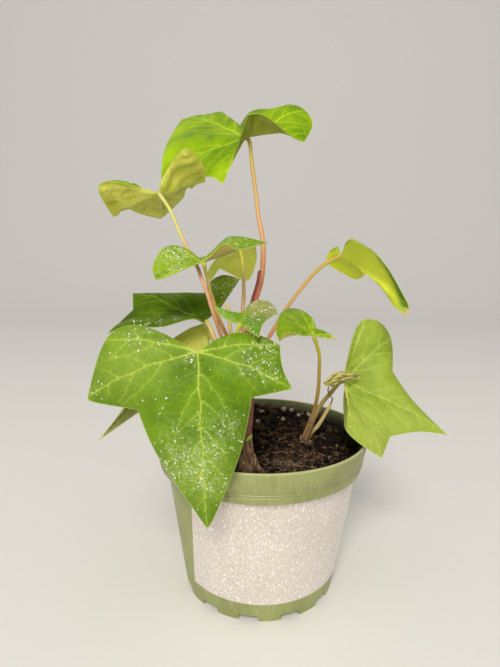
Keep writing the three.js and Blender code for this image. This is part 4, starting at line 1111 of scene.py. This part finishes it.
def make_piece(name, shells, materials, nodes, sharp=50):
    """One mesh piece from closed shells in millimetres, which stands for its CAD nodes."""
    points = np.vstack([shell["points"] for shell in shells]) * MM
    faces, finish = [], []
    start = 0
    for shell in shells:
        faces += [tuple(int(i) + start for i in face) for face in shell["faces"]]
        own = shell["finish"]
        finish += own if isinstance(own, list) else [own] * len(shell["faces"])
        start += len(shell["points"])
    mesh = bpy.data.meshes.new(name)
    mesh.from_pydata(points.tolist(), [], faces)
    for material in materials:
        mesh.materials.append(material)
    mesh.polygons.foreach_set("material_index", finish)
    mesh.polygons.foreach_set("use_smooth", [True] * len(faces))
    for key, size in SIZES.items():
        if not any(key in shell for shell in shells):
            continue
        values = np.concatenate([
            np.asarray(shell.get(key, np.zeros((len(shell["points"]), size)))).reshape(-1, size)
            for shell in shells
        ])
        kind, field = ("FLOAT_VECTOR", "vector") if size == 3 else ("FLOAT", "value")
        mesh.attributes.new(key, kind, "POINT").data.foreach_set(field, values.astype(np.float32).ravel())
    mesh.set_sharp_from_angle(angle=math.radians(sharp))
    mesh.validate()
    piece = bpy.data.objects.new(name, mesh)
    bpy.context.scene.collection.objects.link(piece)
    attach(piece, BODY)
    if nodes:
        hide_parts(*nodes)
    return piece


def front_angle(degrees):
    """A turning direction, from the front of the pot and growing toward +X."""
    return math.radians(degrees - 90)


def body_radius(z):
    return FOOT_RADIUS + (BODY_TOP_RADIUS - FOOT_RADIUS) * z / BAND_BOTTOM


def pot_profile(foot):
    """The pot's section from the underside's centre, up the outside, over the lip and down inside, for a
    foot ring that stands on `foot`."""
    ring = FOOT_RADIUS - FOOT_RING_WIDTH
    inside = BAND_BOTTOM - WALL
    grooves = []
    for z in MOULD_LINES:
        flare = (RIM_RADIUS - BAND_BOTTOM_RADIUS) * (z - BAND_BOTTOM) / (POT_HEIGHT - BAND_BOTTOM)
        radius = BAND_BOTTOM_RADIUS + flare
        grooves += [(radius, z - EDGE), (radius - MOULD_LINE_DEPTH, z), (radius, z + EDGE)]
    return [
        (0, 0),
        (FOOT_PAD_RADIUS - EDGE, 0),
        (FOOT_PAD_RADIUS, EDGE),
        (FOOT_PAD_RADIUS, FOOT_HEIGHT),
        (ring, FOOT_HEIGHT),
        (ring, min(foot + EDGE, FOOT_HEIGHT - 0.05)),
        (ring + EDGE, foot),
        (body_radius(foot) - EDGE, foot),
        (body_radius(foot + EDGE), foot + EDGE),
        (body_radius(foot + 3 * EDGE), foot + 3 * EDGE),
        (body_radius(15), 15),
        (body_radius(40), 40),
        (body_radius(BAND_BOTTOM - EDGE), BAND_BOTTOM - EDGE),
        (BODY_TOP_RADIUS + EDGE, BAND_BOTTOM),
        (BAND_BOTTOM_RADIUS - EDGE, BAND_BOTTOM),
        (BAND_BOTTOM_RADIUS - 0.1, BAND_BOTTOM + 0.1),
        (BAND_BOTTOM_RADIUS, BAND_BOTTOM + EDGE),
        *grooves,
        (RIM_RADIUS - 0.05, POT_HEIGHT - 0.6),
        (RIM_RADIUS - 0.15, POT_HEIGHT - 0.2),
        (RIM_RADIUS - 0.45, POT_HEIGHT),
        (RIM_RADIUS - LIP_WIDTH + 0.35, POT_HEIGHT),
        (RIM_RADIUS - LIP_WIDTH + 0.1, POT_HEIGHT - 0.15),
        (RIM_RADIUS - LIP_WIDTH, POT_HEIGHT - 0.5),
        (LIP_INNER_RADIUS, LIP_INNER_HEIGHT),
        (body_radius(inside) - WALL, inside),
        (body_radius(30) - WALL, 30),
        (body_radius(BASE_TOP) - WALL, BASE_TOP),
        (0, BASE_TOP),
    ]


def pot_shell():
    """The turned pot, whose foot ring is notched."""
    half = NOTCH_WIDTH / 2 / FOOT_RADIUS
    step = EDGE / FOOT_RADIUS
    pitch = 2 * math.pi / NOTCH_COUNT
    columns = []
    for i in range(NOTCH_COUNT):
        centre = front_angle(FIRST_NOTCH_DEG) + i * pitch
        columns += [(centre + half * k / 3, NOTCH_HEIGHT) for k in range(-3, 4)]
        wide = pitch - 2 * half - 2 * step
        columns += [(centre + half + step + wide * k / 14, 0) for k in range(15)]
    rings = [
        [(r * math.cos(turn), r * math.sin(turn), z) for r, z in pot_profile(foot)]
        for turn, foot in columns
    ]
    rows = len(rings[0])
    inner = rows - 2
    points = [rings[0][0], rings[0][-1]] + [p for ring in rings for p in ring[1:-1]]
    faces = []
    for i in range(len(columns)):
        j = (i + 1) % len(columns)
        a, b = 2 + i * inner, 2 + j * inner
        faces.append((0, b, a))
        faces.append((1, a + inner - 1, b + inner - 1))
        faces += [(a + k, b + k, b + k + 1, a + k + 1) for k in range(inner - 1)]
    return {"points": np.array(points), "faces": faces, "finish": 0}


def drain_shell(number):
    """A plug of the shape of one drain hole."""
    turn = front_angle(number * 360 / DRAIN_COUNT)
    centre = DRAIN_CIRCLE_RADIUS * np.array([math.cos(turn), math.sin(turn), 0])
    around = np.arange(40) * 2 * math.pi / 40
    circle = DRAIN_RADIUS * np.c_[np.cos(around), np.sin(around), np.zeros(40)] + centre
    points = np.vstack([circle + (0, 0, -5), circle + (0, 0, 2 * BASE_TOP)])
    sides = [(k, (k + 1) % 40, 40 + (k + 1) % 40, 40 + k) for k in range(40)]
    return {"points": points, "faces": [tuple(range(39, -1, -1)), tuple(range(40, 80)), *sides], "finish": 0}


def raw_object(name, shells):
    """A scratch object from closed shells, for a modifier to work on."""
    points, faces, start = [], [], 0
    for shell in shells:
        points += (np.array(shell["points"]) * MM).tolist()
        faces += [tuple(int(i) + start for i in face) for face in shell["faces"]]
        start += len(shell["points"])
    mesh = bpy.data.meshes.new(name)
    mesh.from_pydata(points, [], faces)
    raw = bpy.data.objects.new(name, mesh)
    bpy.context.scene.collection.objects.link(raw)
    return raw


def modified_shell(raw, finish):
    """What a scratch object's modifiers make of it, as a shell; the scratch object goes."""
    bpy.context.view_layer.update()
    made = raw.evaluated_get(bpy.context.evaluated_depsgraph_get()).to_mesh()
    points = np.empty(len(made.vertices) * 3)
    made.vertices.foreach_get("co", points)
    faces = [tuple(p.vertices) for p in made.polygons]
    bpy.data.objects.remove(raw)
    return {"points": points.reshape(-1, 3) / MM, "faces": faces, "finish": finish}


def make_pot():
    pot = raw_object("pot_raw", [pot_shell()])
    plugs = raw_object("plugs", [drain_shell(i) for i in range(DRAIN_COUNT)])
    cut = pot.modifiers.new("drains", "BOOLEAN")
    cut.operation = "DIFFERENCE"
    cut.solver = "EXACT"
    cut.object = plugs
    shell = modified_shell(pot, 0)
    bpy.data.objects.remove(plugs)
    return make_piece("pot_visual", [shell], [pot_plastic()], ["pot"], sharp=38)


def make_label():
    """A sheet of paper wrapped round the tapering body, whose right-hand edge has come away a little."""
    columns, rows = 150, 60
    across, up = np.meshgrid(np.linspace(-1, 1, columns + 1), np.linspace(0, 1, rows + 1))
    bottom = LABEL_BOTTOM + LABEL_CORNER_RISE * across**2
    z = bottom + (LABEL_TOP - bottom) * up
    turn = front_angle(LABEL_CENTRE_DEG) + across * LABEL_HALF_WIDTH / body_radius(z)
    wave = 0.05 * np.sin(across * 23 + up * 3) + 0.04 * np.sin(up * 17 - across * 9)
    lift = 0.7 * np.clip((across - 0.93) / 0.07, 0, 1) ** 2 * (0.4 + 0.6 * up) + wave + LABEL_GAP
    faces = []
    for offset in (LABEL_THICKNESS, 0):
        radius = body_radius(z) + lift + offset
        faces.append(np.stack([radius * np.cos(turn), radius * np.sin(turn), z], -1))
    shell = sheet_shell(*faces)
    return make_piece("label_visual", [shell], [label_paper()], ["label"])


def soil_height(x, y):
    """The soil's surface: the frame's broad waves with clumps and crumbs on them."""
    height = SOIL_LEVEL + SOIL_SLOPE * y
    height += sum(high * math.sin(kx * x + ky * y + shift) for kx, ky, shift, high in SOIL_WAVES)
    for size, high in ((7, 1.5), (3, 1.0), (1.4, 0.6)):
        height += high * noise.noise((x / size, y / size, size))
    return height


def soil_shell():
    """The body of potting mix, closed down to the pot's base."""
    rings, segments = 64, 220
    below = [
        (LIP_INNER_RADIUS - SOIL_GAP, LIP_INNER_HEIGHT + SOIL_GAP),
        (body_radius(BAND_BOTTOM - 2 * WALL) - WALL - SOIL_GAP, BAND_BOTTOM - 2 * WALL),
        (body_radius(BASE_TOP) - WALL - SOIL_GAP, BASE_TOP + SOIL_GAP),
    ]
    turns = np.arange(segments) * 2 * math.pi / segments
    points = [(0, 0, soil_height(0, 0))]
    for ring in range(1, rings + 1):
        radius = SOIL_RADIUS * ring / rings
        for turn in turns:
            x, y = radius * math.cos(turn), radius * math.sin(turn)
            points.append((x, y, soil_height(x, y)))
    for radius, z in below:
        points += [(radius * math.cos(turn), radius * math.sin(turn), z) for turn in turns]
    foot = len(points)
    points.append((0, 0, BASE_TOP + SOIL_GAP))
    faces = []
    last = rings + len(below) - 1
    for i in range(segments):
        j = (i + 1) % segments
        faces.append((0, 1 + i, 1 + j))
        faces.append((foot, 1 + last * segments + j, 1 + last * segments + i))
        for ring in range(last):
            a, b = 1 + ring * segments + i, 1 + ring * segments + j
            faces.append((a, a + segments, b + segments, b))
    return {"points": np.array(points), "faces": faces, "finish": 0}


def round_points(detail):
    """An icosphere's points and faces."""
    ball = bmesh.new()
    bmesh.ops.create_icosphere(ball, subdivisions=detail, radius=1)
    points = np.array([v.co for v in ball.verts])
    faces = [tuple(v.index for v in f.verts) for f in ball.faces]
    ball.free()
    return points, faces


def soil_place(rng, most=0.97):
    radius = SOIL_RADIUS * most * math.sqrt(rng.random())
    turn = rng.uniform(0, 2 * math.pi)
    return radius * math.cos(turn), radius * math.sin(turn)


def dryness(x, y):
    """How dry the soil's crumbs are, from 0 to 1, highest on the dry patch near the front of the rim."""
    middle_x, middle_y, radius = DRY_PATCH
    return math.exp(-((x - middle_x) ** 2 + (y - middle_y) ** 2) / radius**2)


def crumb_shells(rng, count, sizes, flat, detail, sink, finishes, places=()):
    """Loose bits on the soil: lumps `sizes` across, flattened and jagged at random, sunk by a share of
    their height. The first ones lie at the given places. They are drier and browner on the dry patch."""
    ball, faces = round_points(detail)
    shells = []
    for number in range(count):
        x, y = places[number] if number < len(places) else soil_place(rng)
        size = rng.uniform(*sizes) / 2
        shape = size * np.array([rng.uniform(0.8, 1.3), rng.uniform(*flat), rng.uniform(*flat)])
        points = ball * (1 + rng.uniform(-0.22, 0.22, len(ball)))[:, None] * shape
        turn = Euler(rng.uniform(-0.5, 0.5, 3) + (0, 0, rng.uniform(0, 6.28))).to_matrix()
        points = points @ np.array(turn).T
        points = points + (x, y, soil_height(x, y) + shape[2] * (1 - sink))
        finish = int(rng.choice(finishes))
        if finish < 2 and rng.random() < dryness(x, y):
            finish += 1
        shells.append({"points": points, "faces": faces, "finish": finish})
    return shells


def fibre_shells(rng, count, finishes):
    """Bark fibres and root ends that lie on the soil, most of them on the dry patch."""
    shells = []
    for number in range(count):
        x, y = soil_place(rng, 0.9)
        while dryness(x, y) < 0.9 * rng.random():
            x, y = soil_place(rng, 0.9)
        turn = rng.uniform(0, 6.28)
        length = rng.uniform(4, 12)
        route = []
        for k in range(5):
            px = x + (k - 2) / 4 * length * math.cos(turn) + rng.uniform(-0.9, 0.9)
            py = y + (k - 2) / 4 * length * math.sin(turn) + rng.uniform(-0.9, 0.9)
            if math.hypot(px, py) > SOIL_RADIUS - 1:
                break
            route.append((px, py, soil_height(px, py) + rng.uniform(0.1, 1.6), rng.uniform(0.12, 0.38)))
        if len(route) > 2:
            shells.append(stalk_shell(route, int(rng.choice(finishes)), 5, 1.2, 0, 0, number))
    return shells


def make_soil():
    rng = np.random.default_rng(4)
    mixes = [
        soil_mix("peat", "#090604", "#20160d"),
        soil_mix("composted_bark", "#20150c", "#5a4128"),
        soil_mix("dry_fibre", "#3c2c22", "#937a66"),
        soil_mix("perlite", "#75675a", "#ab9a86", 0.8),
    ]
    make_piece("soil_visual", [soil_shell()], mixes[:1], ["soil"])
    bits = crumb_shells(rng, 1500, (0.9, 1.9), (0.7, 1.0), 1, 0.35, [0, 0, 0, 1])
    bits += crumb_shells(rng, 360, (1.8, 3.4), (0.6, 0.9), 2, 0.45, [0, 0, 0, 1])
    make_piece("soil_crumbs", bits, mixes, [], sharp=35)
    chips = crumb_shells(rng, 260, (2.5, 6), (0.25, 0.55), 2, 0.15, [0, 0, 1])
    chips += fibre_shells(rng, 420, [0, 1, 2, 2])
    make_piece("soil_bark_chips", chips, mixes, [], sharp=35)
    stones = crumb_shells(rng, len(PERLITE_AT), (2.6, 3.2), (0.9, 1.0), 2, 0.0, [3], PERLITE_AT)
    stones += crumb_shells(rng, PERLITE_COUNT, (1.0, 1.8), (0.8, 1.0), 2, 0.4, [3])
    make_piece("soil_perlite", stones, mixes, [], sharp=70)


def fused_stem(name, routes, nodes, ridge, seed):
    """A woody stem with its flares grown into one body, ridged lengthwise where it is bark."""
    shells = [stalk_shell(r, 0, 20, 0.8, 0.05, 0, seed + k) for k, r in enumerate(routes)]
    raw = raw_object(name + "_raw", shells)
    fuse = raw.modifiers.new("fuse", "REMESH")
    fuse.mode = "VOXEL"
    fuse.voxel_size = 0.3 * MM
    smooth = raw.modifiers.new("smooth", "SMOOTH")
    smooth.factor = 0.5
    smooth.iterations = 4
    shell = modified_shell(raw, 0)
    points = shell["points"]
    facing = point_normals(points, np.array([f[:3] for f in shell["faces"]]))
    rise = []
    for x, y, z in points:
        woody = min(1.0, max(0.12, (90 - z) / 12))
        rough = noise.noise((x / 1.0, y / 1.0, z / 6)) + 0.5 * noise.noise((x / 0.5, y / 0.5, z / 3))
        rise.append(ridge * woody * rough)
    shell["points"] = points + facing * np.array(rise)[:, None]
    return make_piece(name, [shell], [bark_skin()], nodes, sharp=80)


def make_stems(skins):
    fused_stem("stem_main_visual", [STEM_MAIN, *ROOT_FLARES], ["stem_main"], 0.55, 50)
    fused_stem("stem_right_visual", [STEM_RIGHT, *KNOBS], ["stem_right"], 0.5, 60)
    for name, route in (("stub_centre", STUB_CENTRE), ("stub_right", STUB_RIGHT)):
        old_stalk = stalk_shell(route, 0, seed=70)
        make_piece(name + "_visual", [old_stalk], [skins["petiole_old"]], [name])
    make_piece("crown_bud", [stalk_shell(BUD, 0, 16, 0.3, 0.08, 0, 5)], [skins["bud_scale"]], [])


def make_leaf(name, leaf, skins):
    rng = np.random.default_rng(leaf["seed"])
    joint, first = np.array(leaf["at"]), np.array(leaf["petiole"][0])
    under = joint + (first[:3] - joint) * STALK_START / np.linalg.norm(first[:3] - joint)
    petiole = stalk_shell([(*under, first[3]), *leaf["petiole"]], 2, seed=leaf["seed"], head=0.2)
    materials = [skins[leaf["upper"]], skins[leaf["under"]], skins[leaf["stalk"]]]
    return make_piece(name + "_visual", [blade_shells(leaf, rng), petiole], materials, [name])


def curled_shell(route, roll, winding, seed):
    """Part of the dead blade, rolled into an open crumpled tube along a route."""
    line, radii = route_points(route, 0.35)
    _, across, up = frames_along(line)
    rng = np.random.default_rng(seed)
    phase = rng.uniform(0, 2 * math.pi, 3)
    share = np.linspace(0, 1, len(line))[:, None]
    turn = math.radians(roll) * (np.linspace(0, 1, ROLL_SIDES + 1) - 0.5)[None] + ROLL_FACES
    fold = 0.2 * np.sin(5 * turn + 2 * math.pi * winding * share + phase[0])
    fold += 0.12 * np.sin(9 * turn - 3 * math.pi * winding * share + phase[1])
    fold += 0.1 * np.sin(2 * turn + 14 * share + phase[2])
    grids = []
    for inset in (0, DRY_BLADE):
        reach = np.maximum(radii[:, None] * (1 + fold) - inset, 0.1)
        circle = np.cos(turn)[..., None] * across[:, None] + np.sin(turn)[..., None] * up[:, None]
        grids.append(line[:, None] + reach[..., None] * circle)
    shell = sheet_shell(*grids)
    crease = np.abs(np.sin(2.5 * turn + math.pi * winding * share + phase[0] / 2))
    shell["along"] = np.tile((0.25 + 0.5 * fold + 0.3 * crease).ravel(), 2)
    return shell


def make_withered(skins):
    rolls = [curled_shell(route, roll, winding, seed) for seed, (route, roll, winding) in enumerate(ROLLS)]
    thread = stalk_shell(THREAD, 1, 8, 0.5, 0.1, 0, 9)
    looks = [dead_leaf_skin(), skins["petiole_dry"]]
    make_piece("leaf_withered_visual", [*rolls, thread], looks, ["leaf_withered"],
               sharp=70)


def camera():
    yaw, pitch, roll = (math.radians(a) for a in (CAMERA_YAW, CAMERA_PITCH, CAMERA_ROLL))
    ahead = Vector((math.sin(yaw) * math.cos(pitch), math.cos(yaw) * math.cos(pitch), math.sin(pitch)))
    level = Vector((math.cos(yaw), -math.sin(yaw), 0))
    top = level.cross(ahead)
    right = level * math.cos(roll) + top * math.sin(roll)
    up = top * math.cos(roll) - level * math.sin(roll)
    data = bpy.data.cameras.new("camera")
    data.sensor_width = SENSOR
    data.lens = SENSOR * FOCAL_SHARE
    data.clip_start = 0.01
    made = bpy.data.objects.new("camera", data)
    turn = Matrix((right, up, -ahead)).transposed().to_4x4()
    made.matrix_world = Matrix.Translation(Vector(CAMERA_AT) * MM) @ turn
    bpy.context.scene.collection.objects.link(made)
    bpy.context.scene.camera = made


def soft_light(name, place, aim, size, power, colour="#ffffff"):
    data = bpy.data.lights.new(name, "AREA")
    data.shape = "DISK"
    data.size = size
    data.energy = power
    data.color = rgb(colour)[:3]
    lamp = bpy.data.objects.new(name, data)
    lamp.location = place
    lamp.rotation_mode = "QUATERNION"
    lamp.rotation_quaternion = (Vector(aim) - Vector(place)).to_track_quat("-Z", "Y")
    bpy.context.scene.collection.objects.link(lamp)


def studio():
    """A pale sweep that lies flat under the pot and curves up behind it, and two soft lights."""
    material, tree = new_material("studio_sweep")
    shader = add(tree, "BsdfPrincipled", {"Base Color": "#eceae6", "Roughness": 0.85})
    add(tree, "OutputMaterial", {0: shader[0]})
    bend = [math.radians(angle) for angle in range(0, 91, 3)]
    profile = [(-3, 0)]
    profile += [(SWEEP_START + SWEEP_RADIUS * math.sin(a), SWEEP_RADIUS * (1 - math.cos(a))) for a in bend]
    profile.append((SWEEP_START + SWEEP_RADIUS, SWEEP_HEIGHT))
    points = [(x, y, z) for y, z in profile for x in (-SWEEP_HALF_WIDTH, SWEEP_HALF_WIDTH)]
    faces = [(a, a + 1, a + 3, a + 2) for a in range(0, len(points) - 2, 2)]
    mesh = bpy.data.meshes.new("floor")
    mesh.from_pydata(points, [], faces)
    mesh.polygons.foreach_set("use_smooth", [True] * len(faces))
    mesh.materials.append(material)
    floor = bpy.data.objects.new("floor", mesh)
    bpy.context.scene.collection.objects.link(floor)
    world = bpy.data.worlds.new("studio")
    world.use_nodes = True
    world.node_tree.nodes["Background"].inputs[0].default_value = rgb("#e9e9e8")
    world.node_tree.nodes["Background"].inputs[1].default_value = 0.55
    bpy.context.scene.world = world
    soft_light("key", (-0.12, -1.5, 1.4), (0, 0, 0.12), 0.7, 26.5, "#fff8ee")
    soft_light("window", (-0.35, -1.5, 0.4), (0, 0, 0.12), 0.4, 4.5, "#fbfbff")
    bpy.context.scene.view_settings.view_transform = "Standard"


skins = {name: leaf_skin(name, shades, **looks) for name, (shades, looks) in LEAF_SKINS.items()}
skins |= {name: petiole_skin(name, *shades) for name, shades in PETIOLE_SKINS.items()}

camera()
studio()
make_pot()
make_label()
make_soil()
make_stems(skins)
for name, leaf in LEAVES.items():
    make_leaf(name, leaf, skins)
make_withered(skins)
